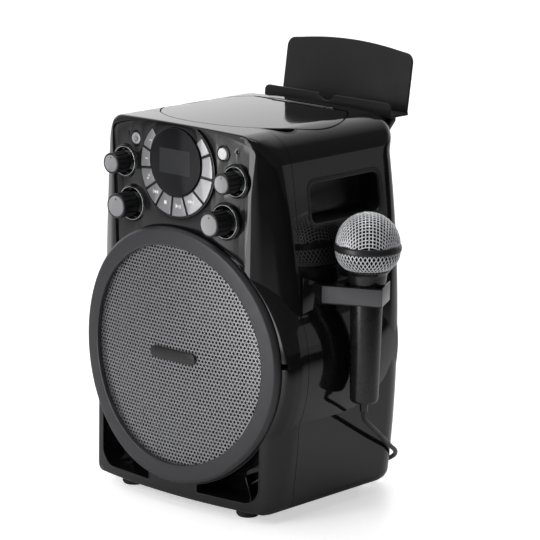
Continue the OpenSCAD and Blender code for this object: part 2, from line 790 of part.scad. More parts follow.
module potentiometer(y, base_y) {
    difference() {
        union() {
            block([-8, y, -8], [8, y + 9, 8]);
            rod_y(0, 0, bushing_r, base_y - 2.5, y + 1);
        }
        rod_y(0, 0, shaft_r + shaft_gap, base_y - 4, y + 7);
    }
}
module potentiometers() {
    color([0.35, 0.5, 0.4]) at_knobs() {
        potentiometer(pot_up_y, knob_up_base);
        potentiometer(pot_low_y, knob_low_base);
    }
}
module control_board() {
    color([0.1, 0.3, 0.15]) {
        along_y(board_y, board_y + board_t) both_sides([[37, 252], [37, 305], [57, 305], [57, 322]]);
        for (k = [0:9]) {
            a = (key_dividers[k] + key_dividers[k + 1]) / 2;
            translate([36 * cos(a), key_rear_y + key_travel + 0.1, dial_z + 36 * sin(a)]) rotate([0, -a, 0])
                block([-2.5, 0, -2.5], [2.5, board_y - key_rear_y - key_travel - 0.1, 2.5]);
        }
    }
}

// Dial frame, display and keys.
hub_r = 26;
module dial_frame() {
    color([0.08, 0.08, 0.09])
    difference() {
        union() {
            intersection() {
                along_y(0, 40) dial_shape(dial_r);
                bow_slab(dial_y, panel_back_y);
            }
            difference() {
                along_y(0, board_y) dial_shape(dial_r + 3.5, -3);
                before_bow(panel_back_y);
            }
        }
        for (k = [0:9]) along_y(0, 20) key_shape(k, key_gap);
        intersection() {
            along_y(0, 20) difference() {
                translate([0, dial_z]) circle(r = key_outer_r + 0.8, $fn = 120);
                translate([0, display_z]) circle(r = key_inner_r - 0.8, $fn = 120);
                translate([-22, dial_z + 28]) square([44, 30]);
            }
            difference() {
                block([-60, 0, 200], [60, 20, 400]);
                before_bow(dial_y + 2.5);
            }
        }
        intersection() {
            rod_y(0, display_z, display_r + 0.1, -1, 20, $fn = 120);
            before_bow(dial_y + 1);
        }
        rod_y(0, display_z, hub_r, 0, 20, $fn = 96);
    }
}
module display_window() {
    color([0.1, 0.1, 0.12, 0.8]) intersection() {
        rod_y(0, display_z, display_r, -1, 20, $fn = 120);
        bow_slab(dial_y - 1.6, dial_y + 1);
    }
}
module display_module() {
    color([0.2, 0.22, 0.24]) block([-19, 8.5, display_z - 15], [19, board_y, display_z + 15]);
}
module dial_key(k) {
    tone = k < 4 ? 0.62 : 0.42;
    color([tone, tone, tone]) {
        difference() {
            along_y(0, key_rear_y) key_shape(k, 0);
            before_bow(key_face_y);
        }
        difference() {
            along_y(0, key_rear_y) key_shape(k, 0.5);
            before_bow(dial_y + 2.6);
        }
    }
}
module key_1() dial_key(0);
module key_2() dial_key(1);
module key_3() dial_key(2);
module key_4() dial_key(3);
module key_5() dial_key(4);
module key_6() dial_key(5);
module key_7() dial_key(6);
module key_8() dial_key(7);
module key_9() dial_key(8);
module key_10() dial_key(9);
module round_key(x) {
    y0 = panel_y + bow(x) - 1.4;
    rod_y(x, round_key_z, round_key_r, y0, board_y - 0.9);
    rod_y(x, round_key_z, round_key_r + 1.2, board_y - 1.7, board_y - 0.9);
}
module power_button() color([0.45, 0.45, 0.46]) round_key(-power_x);
module voice_button() color([0.85, 0.85, 0.85]) round_key(power_x);

// Disc lid and drive.
module disc_lid() {
    color([0.05, 0.05, 0.055])
    difference() {
        union() {
            intersection() {
                difference() {
                    along_y(-10, far) front_outline(0);
                    along_y(-20, far) front_outline(lid_t);
                }
                translate([0, 0, body_top - 20]) linear_extrude(height = far) lid_shape(lid_r, lid_rear_y);
            }
            rod_x(hinge_y, hinge_z, hinge_r, -hinge_half, hinge_half);
            block([-hinge_half, lid_rear_y - 3, hinge_z], [hinge_half, hinge_y, hinge_z + hinge_r]);
        }
        rod_x(hinge_y, hinge_z, pin_r + shaft_gap, -hinge_half - 1, hinge_half + 1);
        for (s = [-1, 1])
            translate([s * (knuckle_in + knuckle_out) / 2, lid_rear_y, hinge_z])
                cube([knuckle_out - knuckle_in + 0.8, 5, 12], center = true);
    }
}
module lid_hinge_pin() color([0.6, 0.6, 0.6]) rod_x(hinge_y, hinge_z, pin_r, -knuckle_out, knuckle_out);

deck_rear_y = hinge_y + hinge_r + 0.6;
motor_r = 12;
slot_in = 17;
rail_in = 9;
sled_x = 15;
sled_l = 18;
rail_out = sled_x + sled_l + pickup_travel + 6;
rail_z = 302;
rail_ys = [-16, 16];
module disc_deck() {
    color([0.2, 0.2, 0.21])
    difference() {
        union() {
            translate([0, 0, deck_z - deck_t]) linear_extrude(height = deck_t)
                lid_shape(lid_r + lid_gap + deck_t, deck_rear_y + deck_t);
            intersection() {
                translate([0, 0, deck_z - 0.1]) linear_extrude(height = 20) difference() {
                    lid_shape(lid_r + lid_gap + deck_t, deck_rear_y + deck_t);
                    lid_shape(lid_r + lid_gap, deck_rear_y);
                }
                body_solid(wall);
            }
            translate([0, disc_y, well_z - deck_t]) cylinder(r = well_r + deck_t, h = deck_z - well_z, $fn = 120);
            for (y = rail_ys) {
                block([rail_in, disc_y + y - 4, rail_z - 4], [rail_in + 4, disc_y + y + 4, well_z - 1]);
                block([rail_out - 4, disc_y + y - 4, rail_z - 4], [rail_out, disc_y + y + 4, deck_z - 1]);
            }
        }
        translate([0, disc_y, well_z]) cylinder(r = well_r, h = 40, $fn = 120);
        translate([0, disc_y, well_z - 10]) cylinder(r = turntable_r + 1, h = 40);
        block([slot_in, disc_y - 9, well_z - 10], [well_r - 3, disc_y + 9, well_z + 1]);
        notch(notch_r + wall + 0.2, deck_z, far);
        block([-knuckle_out - 1, deck_rear_y - 5, hinge_z - hinge_r - 0.3], [knuckle_out + 1, far, far]);
        for (y = rail_ys) rod_x(disc_y + y, rail_z, rail_r, rail_in - 1, rail_out + 1);
    }
}
module spindle_hub() {
    color([0.75, 0.75, 0.76]) translate([0, disc_y, 0]) {
        translate([0, 0, rail_z - 6]) cylinder(r = 1.5, h = well_z - rail_z + 7);
        translate([0, 0, well_z + 0.6]) cylinder(r = turntable_r, h = 1.6, $fn = 96);
        translate([0, 0, well_z + 2.2]) cylinder(r = spindle_r, h = 2.2, $fn = 96);
        translate([0, 0, well_z + 4.4]) cylinder(r1 = spindle_r, r2 = spindle_r - 2, h = 1, $fn = 96);
    }
}
module spindle_motor() {
    color([0.6, 0.6, 0.62]) translate([0, disc_y, 0]) difference() {
        union() {
            translate([0, 0, rail_z - 12]) cylinder(r = motor_r, h = well_z - deck_t - rail_z + 10);
            intersection() {
                translate([0, 0, well_z - deck_t - 2]) cylinder(r = 20, h = 2);
                block([-8.5, -30, 0], [8.5, 30, far]);
            }
        }
        translate([0, 0, rail_z - 7]) cylinder(r = 1.5 + shaft_gap, h = 30);
    }
}
module pickup_sled() {
    color([0.16, 0.16, 0.17]) translate([0, disc_y, 0]) difference() {
        union() {
            block([sled_x, -20, rail_z - 3], [sled_x + sled_l, 20, rail_z + 3]);
            block([sled_x + 5, -7, rail_z], [sled_x + 15, 7, well_z - 3.4]);
            translate([sled_x + 10, 0, rail_z]) cylinder(r = 3, h = well_z - rail_z - 0.8);
        }
        for (y = rail_ys) rod_x(y, rail_z, rail_r + shaft_gap, 0, 60);
    }
}
module pickup_rails() {
    color([0.7, 0.7, 0.72]) for (y = rail_ys) rod_x(disc_y + y, rail_z, rail_r, rail_in, rail_out);
}

// Boards and transformer inside the body.
module main_board() {
    color([0.1, 0.3, 0.15]) {
        block([-2, 102, main_board_z], [90, 166, main_board_z + board_t]);
        block([10, 112, main_board_z + board_t], [34, 140, main_board_z + board_t + 9]);
        for (x = [46, 62, 78])
            translate([x, 124, main_board_z + board_t]) cylinder(r = 5, h = 14);
        block([44, 142, main_board_z + board_t], [80, 148, main_board_z + board_t + 24]);
    }
}
module transformer() {
    color([0.35, 0.33, 0.3]) {
        block([-66, 112, floor_z], [-18, 150, floor_z + 4]);
        block([-62, 118, floor_z + 4], [-22, 144, floor_z + 40]);
        block([-56, 106, floor_z + 12], [-28, 156, floor_z + 32]);
    }
}

// Handle pockets in both sides.
module pocket_outline(d) {
    round_rect([pocket_y0 - d, pocket_z0 - d], [pocket_y1 + d, pocket_z1 + d], pocket_r);
}
pocket_back_x = side_x((pocket_z0 + pocket_z1) / 2) - pocket_depth;
module right_pocket() {
    difference() {
        union() {
            intersection() {
                along_x(80, far) pocket_outline(0);
                along_y(0, far) difference() {
                    front_outline(0);
                    front_outline(wall + 2);
                }
            }
            intersection() {
                along_x(80, far) pocket_outline(2.5);
                along_y(0, far) difference() {
                    front_outline(wall);
                    front_outline(wall + 2);
                }
            }
            intersection() {
                along_x(pocket_back_x - 2, far) pocket_outline(2.2 - pocket_rim);
                along_y(0, far) front_outline(wall);
            }
        }
        along_x(pocket_back_x, far) pocket_outline(-pocket_rim);
    }
}
module right_handle_pocket() color([0.07, 0.07, 0.075]) right_pocket();
module left_handle_pocket() color([0.07, 0.07, 0.075]) mirror([1, 0, 0]) right_pocket();

// Sockets in the rear wall.
mic_jack_xs = [-30, -10];
mic_jack_r = 3.2;
jack_z = (jack_z0 + jack_z1) / 2;
aux_x = 7;
inlet_x = 26;
module jack_panel() {
    color([0.12, 0.12, 0.125]) difference() {
        union() {
            along_y(rear_y - wall - 0.01, rear_y - 0.6) round_rect([insert_gap - jack_half_w, jack_z0 + insert_gap],
                [jack_half_w - insert_gap, jack_z1 - insert_gap], 3.8);
            along_y(rear_y - wall - 2, rear_y - wall) round_rect([-jack_half_w - 3, jack_z0 - 3],
                [jack_half_w + 3, jack_z1 + 3], 4);
        }
        for (x = mic_jack_xs) rod_y(x, jack_z, 4.5, 150, 200);
        rod_y(aux_x, jack_z, 3, 150, 200);
        along_y(150, 200) round_rect([inlet_x - 9, jack_z - 5.5], [inlet_x + 9, jack_z + 5.5], 3);
    }
}
module rear_jacks() {
    color([0.35, 0.35, 0.36]) for (x = mic_jack_xs) difference() {
        union() {
            rod_y(x, jack_z, 4.5, rear_y - wall - 2.5, rear_y + 1.6);
            rod_y(x, jack_z, 6, rear_y - 0.6, rear_y + 1.2);
            block([x - 7, rear_y - wall - 24, jack_z - 7], [x + 7, rear_y - wall - 2, jack_z + 7]);
        }
        rod_y(x, jack_z, mic_jack_r, rear_y - 24, rear_y + 5);
    }
    color([0.2, 0.2, 0.21]) difference() {
        union() {
            rod_y(aux_x, jack_z, 3, rear_y - wall - 2.5, rear_y);
            block([aux_x - 4, rear_y - wall - 14, jack_z - 4], [aux_x + 4, rear_y - wall - 2, jack_z + 4]);
        }
        rod_y(aux_x, jack_z, 1.8, rear_y - 15, rear_y + 5);
    }
}
module mains_inlet() {
    color([0.05, 0.05, 0.05]) {
        difference() {
            along_y(rear_y - 20, rear_y) round_rect([inlet_x - 9, jack_z - 5.5], [inlet_x + 9, jack_z + 5.5], 3);
            along_y(rear_y - 16, rear_y + 1) round_rect([inlet_x - 7.6, jack_z - 4], [inlet_x + 7.6, jack_z + 4], 2.6);
        }
        for (x = [-3.3, 3.3]) rod_y(inlet_x + x, jack_z, 1.2, rear_y - 16.5, rear_y - 5);
    }
}
module rear_screws() {
    color([0.25, 0.25, 0.26]) for (p = screw_places) difference() {
        union() {
            rod_y(p[0], p[1], 1.5, rear_y - 9, rear_y);
            rod_y(p[0], p[1], 3.2, rear_y, rear_y + 1.6);
        }
        for (a = [0, 90])
            translate([p[0], rear_y + 1.6, p[1]]) rotate([0, a, 0]) cube([3.6, 1.6, 0.8], center = true);
    }
}
module feet() {
    color([0.04, 0.04, 0.04]) mirrored() for (y = [foot_front_y, foot_rear_y])
        translate([foot_x, y, 0]) {
            cylinder(r = foot_r - 1, h = body_bottom);
            translate([0, 0, 1.2]) cylinder(r = foot_r, h = body_bottom - 1.2);
        }
}

// Tablet cradle behind the body.
tongue_y = cradle_y + 7;
tongue_t = 6;
tongue_z = 222;
module tablet_cradle() {
    plate_half_w = cradle_half_w - 0.6;
    color([0.08, 0.08, 0.085]) {
        difference() {
            union() {
                block([-cradle_half_w, cradle_y, cradle_z], [cradle_half_w, cradle_y + cradle_t, cradle_z + lip_h]);
                block([-cradle_half_w, cradle_y, cradle_z],
                    [cradle_half_w, cradle_y + shelf_d + cradle_t, cradle_z + cradle_t]);
            }
            rod_y(0, cradle_z + lip_h + 4, thumb_r, cradle_y - 1, cradle_y + cradle_t + 1);
        }
        translate([0, cradle_y + shelf_d, cradle_z + cradle_t / 2]) rotate([-plate_lean, 0, 0]) along_y(0, cradle_t)
            both_sides(concat(
                [[plate_half_w, 0], [plate_half_w, plate_h - 6], [plate_half_w - 1.8, plate_h - 1.8]],
                [for (k = [1:7]) let (x = (cradle_half_w - 5) * (1 - k / 8))
                    [x, plate_h + plate_arch * (1 - pow(x / cradle_half_w, 2))]]
            ));
        along_y(tongue_y - tongue_t / 2, tongue_y + tongue_t / 2) both_sides([
            [tongue_half_w, tongue_z], [tongue_half_w, 286], [tongue_half_w + 5, 297],
            [cradle_half_w - 9, cradle_z - 15], [cradle_half_w - 1, cradle_z - 3], [cradle_half_w - 1, cradle_z + 1]
        ]);
    }
}
module cradle_socket() {
    color([0.07, 0.07, 0.075]) difference() {
        union() {
            block([-tongue_half_w - 4, rear_y, tongue_z - 5], [tongue_half_w + 4, tongue_y + tongue_t / 2 + 2.6, 262]);
            block([-tongue_half_w - 10, rear_y, tongue_z - 8], [tongue_half_w + 10, rear_y + 3, 265]);
        }
        block([-tongue_half_w - insert_gap, tongue_y - tongue_t / 2 - insert_gap, tongue_z],
            [tongue_half_w + insert_gap, tongue_y + tongue_t / 2 + insert_gap, 270]);
    }
}

// Microphone holder, in plan turned to the front strap and centred on the microphone.
holder_in = grip_top_r + strap_gap;
holder_reach = holder_in + 31.5;
holder_round = 2.6;
fairing_y = [44, 62, 68, 112];
fairing_in = body_half_w - 21.5;
fairing_proud = 1.1;
module holder_plan() {
    translate([mic_x, mic_y]) rotate([0, 0, strap_turn]) difference() {
        round_rect([-holder_reach, -holder_in - strap_t], [holder_in + holder_t, holder_in + holder_t], holder_round);
        translate([-holder_in - 2, -holder_in]) square([2 * holder_in + 2, 2 * holder_in]);
    }
}
module mic_holder() {
    color([0.07, 0.07, 0.075]) difference() {
        union() {
            intersection() {
                translate([0, 0, holder_z - holder_h]) linear_extrude(height = holder_h) holder_plan();
                block([fairing_in, fairing_y[0] - 4, 0], [far, far, far]);
            }
            intersection() {
                along_x(fairing_in, far) polygon([
                    [fairing_y[0], holder_z - holder_h - 6], [fairing_y[0], holder_z + 9], [fairing_y[2], holder_z],
                    [fairing_y[3], holder_z], [fairing_y[3], holder_z - holder_h], [fairing_y[2], holder_z - holder_h]
                ]);
                linear_extrude(height = far) polygon([
                    [fairing_in, fairing_y[0]], [body_half_w + fairing_proud - 2, fairing_y[0]],
                    [body_half_w + fairing_proud, fairing_y[1]], [body_half_w + fairing_proud, fairing_y[3]],
                    [fairing_in, fairing_y[3]]
                ]);
            }
        }
        along_y(0, far) front_outline(0);
        translate([mic_x, mic_y, 0]) cylinder(r = holder_in, h = far);
    }
}

// Microphone.
collar_z = holder_z + 13.4;
mesh_in = 0.8;
mesh_r = ball_r - mesh_in;
band_z0 = ball_z - band_h / 2 - 1;
band_z1 = ball_z + band_h / 2 - 1;
dome_z = band_z1 - 1;
module at_mic() translate([mic_x, mic_y, 0]) children();
module mic_mesh_upper() {
    color([0.7, 0.7, 0.72]) at_mic() intersection() {
        translate([0, 0, dome_z]) difference() {
            sphere(r = mesh_r, $fn = 96);
            sphere(r = mesh_r - 1.2, $fn = 96);
        }
        translate([-50, -50, band_z1]) cube([100, 100, 60]);
    }
}
module mic_band() {
    color([0.1, 0.1, 0.11]) at_mic() translate([0, 0, band_z0]) difference() {
        cylinder(r = ball_r, h = band_z1 - band_z0, $fn = 96);
        translate([0, 0, -1]) cylinder(r = ball_r - 3, h = band_h + 2, $fn = 96);
    }
}
collar_r = 20;
module mic_mesh_lower() {
    bowl = [for (k = [0:8]) let (t = k / 8)
        [collar_r + (mesh_r - collar_r) * sin(90 * t), collar_z + (band_z0 - collar_z) * pow(t, 1.3)]];
    color([0.66, 0.66, 0.68]) at_mic() rotate_extrude($fn = 96)
        polygon(concat(bowl, [for (k = [8:-1:0]) [bowl[k][0] - 1.4, bowl[k][1]]]));
}
module mic_collar() {
    color([0.08, 0.08, 0.085]) at_mic() rotate_extrude($fn = 96) polygon([
        [0, holder_z], [holder_in + 1.2, holder_z], [holder_in + 1.6, holder_z + 3],
        [holder_in + 2.4, collar_z - 4.4], [collar_r - 0.6, collar_z - 1.4], [collar_r, collar_z], [0, collar_z]
    ]);
}
grip_z = holder_z - grip_l;
grip_round = 5;
relief_z = grip_z - 8;
cord_r = cord_d / 2;
module mic_handle() {
    color([0.06, 0.06, 0.065]) at_mic() rotate_extrude($fn = 96) polygon(concat(
        [[cord_r + 0.4, relief_z], [cord_r + 1.6, relief_z], [cord_r + 2.6, grip_z]],
        [for (a = [0:15:90])
            [grip_low_r - grip_round * (1 - sin(a)), grip_z + grip_round * (1 - cos(a))]],
        [[grip_top_r, holder_z], [0, holder_z], [0, grip_z - 1], [cord_r + 0.4, grip_z - 1]]
    ));
}
module mic_capsule() {
    color([0.5, 0.5, 0.52]) at_mic() {
        translate([0, 0, collar_z]) cylinder(r = 8, h = 8);
        translate([0, 0, collar_z + 8]) cylinder(r = 12, h = 12);
    }
}

// Microphone cord: out of the handle, down beside the body and round behind it to the table.
cord_floor = cord_r + 0.05;
coil_c = [0, 234];
coil_pitch = cord_d + 0.5;
coil_turns = 5.5;
coil_in_r = 11;
coil_out_r = coil_in_r + coil_pitch * coil_turns;
coil_top = cord_floor + coil_pitch;
lead = 4.2;
cord_start = coil_c + [lead, -coil_out_r];
cord_knots = [
    [mic_x, mic_y, relief_z], [mic_x, mic_y, relief_z - 4], [mic_x - 0.2, mic_y + 3, relief_z - 8.5],
    [body_half_w + 21.5, 109, 76], [body_half_w + 17.5, 124, 66], [body_half_w + 12.5, 139, 56],
    [body_half_w + 6.5, 154, 46.5], [body_half_w, 169, 38], [body_half_w - 8.5, 181, 31], [93, 190, 24],
    [80, 195, 16.5], [68, 197.5, 10], [56, 198.5, 5], [44, 199, 2.3], [32, 198.8, cord_floor],
    [20, 198.4, cord_floor], [10, 198.3, cord_floor], [cord_start[0], cord_start[1], cord_floor]
];
knot_n = len(cord_knots);
function knot(k) = cord_knots[max(0, min(knot_n - 1, k))];
function spline(k, t) = let (a = knot(k - 1), b = knot(k), c = knot(k + 1), d = knot(k + 2))
    0.5 * (2 * b + (c - a) * t + (2 * a - 5 * b + 4 * c - d) * t * t + (3 * b - a - 3 * c + d) * t * t * t);
function on_floor(p) = [p[0], p[1], max(p[2], cord_floor)];
cord_path = concat(
    [for (k = [0:knot_n - 2]) for (t = [0:0.5:0.5]) on_floor(spline(k, t))],
    [knot(knot_n - 1)]
);
function coil_r_at(u) = u < coil_turns ? coil_in_r + coil_pitch * (coil_turns - u)
    : u < coil_turns + 0.5 ? coil_in_r - 0.6 * sin(360 * (u - coil_turns))
    : coil_in_r + coil_pitch * (u - coil_turns - 0.5);
function coil_z_at(u) = cord_floor + coil_pitch * max(0, min(1, (u - coil_turns) * 2));
coil_all = 2 * coil_turns;
function coil_at(u) = [
    coil_c[0] + coil_r_at(u) * cos(-90 - 360 * u), coil_c[1] + coil_r_at(u) * sin(-90 - 360 * u), coil_z_at(u)
];
tail_l = 27;
coil_last = coil_at(coil_all);
coil_path = concat(
    [[cord_start[0], cord_start[1], cord_floor]],
    [for (k = [0:coil_all * 24]) coil_at(k / 24)],
    [for (x = [9, 18, tail_l - 4, tail_l]) coil_last - [x, 0, 0]]
);
plug_r = coil_top - 0.05;
plug_x = coil_last[0] - tail_l;

// A round tube along a path: each ring is square to the path, with no twist between rings.
function unit(v) = v / norm(v);
function way(p, k) = unit(p[min(k + 1, len(p) - 1)] - p[max(k - 1, 0)]);
function side_of(p, k) = k == 0 ? unit(cross(way(p, 0), abs(way(p, 0)[2]) > 0.9 ? [1, 0, 0] : [0, 0, 1])) : 0;
function frames(p) = [
    for (k = 0, s = side_of(p, 0); k < len(p);
        k = k + 1, s = k < len(p) ? unit(s - way(p, k) * (s * way(p, k))) : s) s
];
module tube(p, r, sides) {
    f = frames(p);
    n = len(p);
    pts = [for (k = [0:n - 1]) let (s = f[k], u = cross(way(p, k), s))
        for (j = [0:sides - 1]) p[k] + r * (cos(360 * j / sides) * s + sin(360 * j / sides) * u)];
    faces = concat(
        [[for (j = [0:sides - 1]) j]],
        [for (k = [0:n - 2]) for (j = [0:sides - 1])
            [k * sides + j, (k + 1) * sides + j, (k + 1) * sides + (j + 1) % sides, k * sides + (j + 1) % sides]],
        [[for (j = [sides - 1:-1:0]) (n - 1) * sides + j]]
    );
    polyhedron(points = pts, faces = faces, convexity = 10);
}
function path_length(p, k = 1) = k >= len(p) ? 0 : norm(p[k] - p[k - 1]) + path_length(p, k + 1);
coil_gap = min([for (i = [1:len(coil_path) - 1]) for (j = [i + 12:3:len(coil_path) - 1])
    norm(coil_path[i] - coil_path[j])]) - cord_d;
echo(cord_mm = path_length(cord_path), coil_mm = path_length(coil_path), coil_gap_mm = coil_gap,
    cord_rings = len(cord_path), coil_rings = len(coil_path));
module mic_cord() color([0.06, 0.06, 0.06]) tube(cord_path, cord_r, 8);
module mic_cord_coil() color([0.06, 0.06, 0.06]) tube(coil_path, cord_r, 6);
module mic_plug() {
    color([0.3, 0.3, 0.32]) translate([plug_x, coil_last[1], coil_top]) rotate([0, -90, 0]) {
        cylinder(r = cord_r + 1, h = 8);
        translate([0, 0, 8]) cylinder(r = plug_r, h = 30);
        translate([0, 0, 38]) cylinder(r = 3.15, h = 27);
        translate([0, 0, 65]) cylinder(r1 = 3.15, r2 = 1.4, h = 3);
    }
}

// Draw one node or all of them.
placed() {
    front_housing();
    rear_housing();
    speaker_ring();
    speaker_grille();
    grille_badge();
    driver_basket();
    driver_surround();
    driver_cone();
    driver_magnet();
    control_panel();
    knob_bezels();
    knob_upper_left();
    knob_upper_right();
    knob_lower_left();
    knob_lower_right();
    potentiometers();
    control_board();
    dial_frame();
    display_window();
    display_module();
    key_1();
    key_2();
    key_3();
    key_4();
    key_5();
    key_6();
    key_7();
    key_8();
    key_9();
    key_10();
    power_button();
    voice_button();
    disc_lid();
    lid_hinge_pin();
    disc_deck();
    spindle_hub();
    spindle_motor();
    pickup_sled();
    pickup_rails();
    main_board();
    transformer();
    left_handle_pocket();
    right_handle_pocket();
    jack_panel();
    rear_jacks();
    mains_inlet();
    cradle_socket();
    tablet_cradle();
    rear_screws();
    feet();
    mic_holder();
    mic_mesh_upper();
    mic_band();
    mic_mesh_lower();
    mic_collar();
    mic_handle();
    mic_capsule();
    mic_cord();
    mic_cord_coil();
    mic_plug();
}
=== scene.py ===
import math

import bmesh
import bpy
import numpy as np
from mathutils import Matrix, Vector


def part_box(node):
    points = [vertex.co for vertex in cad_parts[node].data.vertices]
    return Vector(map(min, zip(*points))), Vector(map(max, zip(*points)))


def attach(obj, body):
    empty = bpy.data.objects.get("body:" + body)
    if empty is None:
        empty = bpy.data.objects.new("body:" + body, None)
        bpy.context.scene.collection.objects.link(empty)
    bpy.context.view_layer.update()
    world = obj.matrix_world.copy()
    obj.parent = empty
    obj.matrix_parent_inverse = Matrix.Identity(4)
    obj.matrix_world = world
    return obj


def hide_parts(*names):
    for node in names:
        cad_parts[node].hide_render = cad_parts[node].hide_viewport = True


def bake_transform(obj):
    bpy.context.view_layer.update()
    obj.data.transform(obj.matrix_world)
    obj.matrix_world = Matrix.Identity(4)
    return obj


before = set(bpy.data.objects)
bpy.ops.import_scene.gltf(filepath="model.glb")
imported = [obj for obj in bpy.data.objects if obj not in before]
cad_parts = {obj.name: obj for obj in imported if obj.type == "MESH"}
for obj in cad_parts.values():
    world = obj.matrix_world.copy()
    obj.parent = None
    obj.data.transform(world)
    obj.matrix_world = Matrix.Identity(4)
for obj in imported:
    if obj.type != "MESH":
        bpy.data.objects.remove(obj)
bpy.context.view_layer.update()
scene = bpy.context.scene

ORIGIN = np.array([21.7, 110.139, 0.0])  # of the row frame, in the body frame
HALF_W = 111.5
BODY_TOP = 331.0
FRONT_Y = 5.5  # the front's face on the symmetry plane
REAR_Y = 188.0
BOW_R = 490.0  # the front is part of a cylinder this large
CROWN = 5.0  # the top falls by this much to the sides
SHOULDER_R = 24.0
REAR_R = 30.0
RING_Z = 131.8
OPENING_R = 105.4  # round opening of the front, behind the speaker ring
LIP_R = 105.05
DIAL_Z = 293.0
DISPLAY_Z = 298.5
ROUND_KEY = (49.5, 311.5)
LID_Y = 103.0  # the lid's middle
LID_R = 80.0
HUB_Y = 98.0
HINGE = (163.4, 328.5)  # the lid's pin, as depth and height
JACK_Z = 76
SEAM_Y = 42.5
SEAM_GAP = 0.24
WALL = 2.6
MIC = (135.0, 97.0)


def row(points):
    return (np.asarray(points, float).reshape(-1, 3) - ORIGIN) * 0.001


# ---------------------------------------------------------------- camera
def set_camera():
    data = bpy.data.cameras.new("photo_camera")
    data.lens = 197.015
    data.sensor_width = 36.0
    data.clip_end = 60.0
    camera = bpy.data.objects.new("photo_camera", data)
    camera.location = (1.64273, -1.87268, 0.75955)
    camera.rotation_euler = [math.radians(a) for a in (77.17774, -1.03193, 41.60546)]
    scene.collection.objects.link(camera)
    scene.camera = camera


set_camera()


# ---------------------------------------------------------------- finishes
class Finish:
    """A procedural finish on one shader: its grain, its mottled colour and its uneven gloss."""

    def __init__(self, name, colour, rough, metal=0.0, level=0.5):
        self.mat = bpy.data.materials.new(name)
        self.mat.use_nodes = True
        self.mat.diffuse_color = (*colour, 1.0)
        self.tree = self.mat.node_tree
        self.tree.nodes.clear()
        self.out = self.tree.nodes.new("ShaderNodeOutputMaterial")
        self.shader = self.tree.nodes.new("ShaderNodeBsdfPrincipled")
        self.tree.links.new(self.shader.outputs[0], self.out.inputs[0])
        self.place = self.tree.nodes.new("ShaderNodeTexCoord")
        self.colour = colour
        self.rough = rough
        s = self.shader.inputs
        s["Base Color"].default_value = (*colour, 1.0)
        s["Roughness"].default_value = rough
        s["Metallic"].default_value = metal
        s["Specular IOR Level"].default_value = level

    def node(self, kind, **inputs):
        n = self.tree.nodes.new("ShaderNode" + kind)
        for key, value in inputs.items():
            socket = n.inputs[key.replace("_", " ")]
            if isinstance(value, bpy.types.NodeSocket):
                self.tree.links.new(value, socket)
            else:
                socket.default_value = value
        return n

    def noise(self, per_metre, detail=3.0, stretch=(1, 1, 1)):
        at = self.node("Mapping", Vector=self.place.outputs["Object"], Scale=stretch)
        return self.node("TexNoise", Vector=at.outputs[0], Scale=per_metre, Detail=detail).outputs[0]

    def ranged(self, socket, low, high, start=0.3, end=0.7):
        n = self.node("MapRange", Value=socket)
        n.inputs["From Min"].default_value = start
        n.inputs["From Max"].default_value = end
        n.inputs["To Min"].default_value = low
        n.inputs["To Max"].default_value = high
        return n.outputs[0]

    def mottle(self, per_metre, amount, stretch=(1, 1, 1)):
        """Slightly darker and lighter places."""
        n = self.node("Mix")
        n.data_type = "RGBA"
        n.blend_type = "MIX"
        self.tree.links.new(self.ranged(self.noise(per_metre, 4.0, stretch), 0.0, 1.0), n.inputs[0])
        n.inputs[6].default_value = (*[c * (1 - amount) for c in self.colour], 1.0)
        n.inputs[7].default_value = (*[min(1.0, c * (1 + amount)) for c in self.colour], 1.0)
        self.tree.links.new(n.outputs[2], self.shader.inputs["Base Color"])
        return self

    def uneven(self, per_metre, amount, stretch=(1, 1, 1)):
        """Gloss that changes a little from place to place, as on a handled surface."""
        noise = self.noise(per_metre, 5.0, stretch)
        low = max(0.02, self.rough - amount)
        self.tree.links.new(self.ranged(noise, low, self.rough + amount), self.shader.inputs["Roughness"])
        return self

    def grain(self, per_metre, depth, detail=2.0, stretch=(1, 1, 1)):
        """Moulded or cast grain, depth in metres."""
        n = self.node("Bump", Height=self.noise(per_metre, detail, stretch))
        n.inputs["Distance"].default_value = depth
        n.inputs["Strength"].default_value = 1.0
        self.tree.links.new(n.outputs[0], self.shader.inputs["Normal"])
        return self


def gloss(name, colour, rough=0.07, level=0.42):
    f = Finish(name, colour, rough, level=level)
    return f.mottle(60, 0.12).uneven(55, 0.025).grain(70, 0.00001).mat


def satin(name, colour, rough=0.38, metal=0.0, level=0.5, depth=0.00001, per_metre=2600):
    f = Finish(name, colour, rough, metal, level)
    return f.mottle(1800, 0.05).uneven(90, 0.05).grain(per_metre, depth).mat


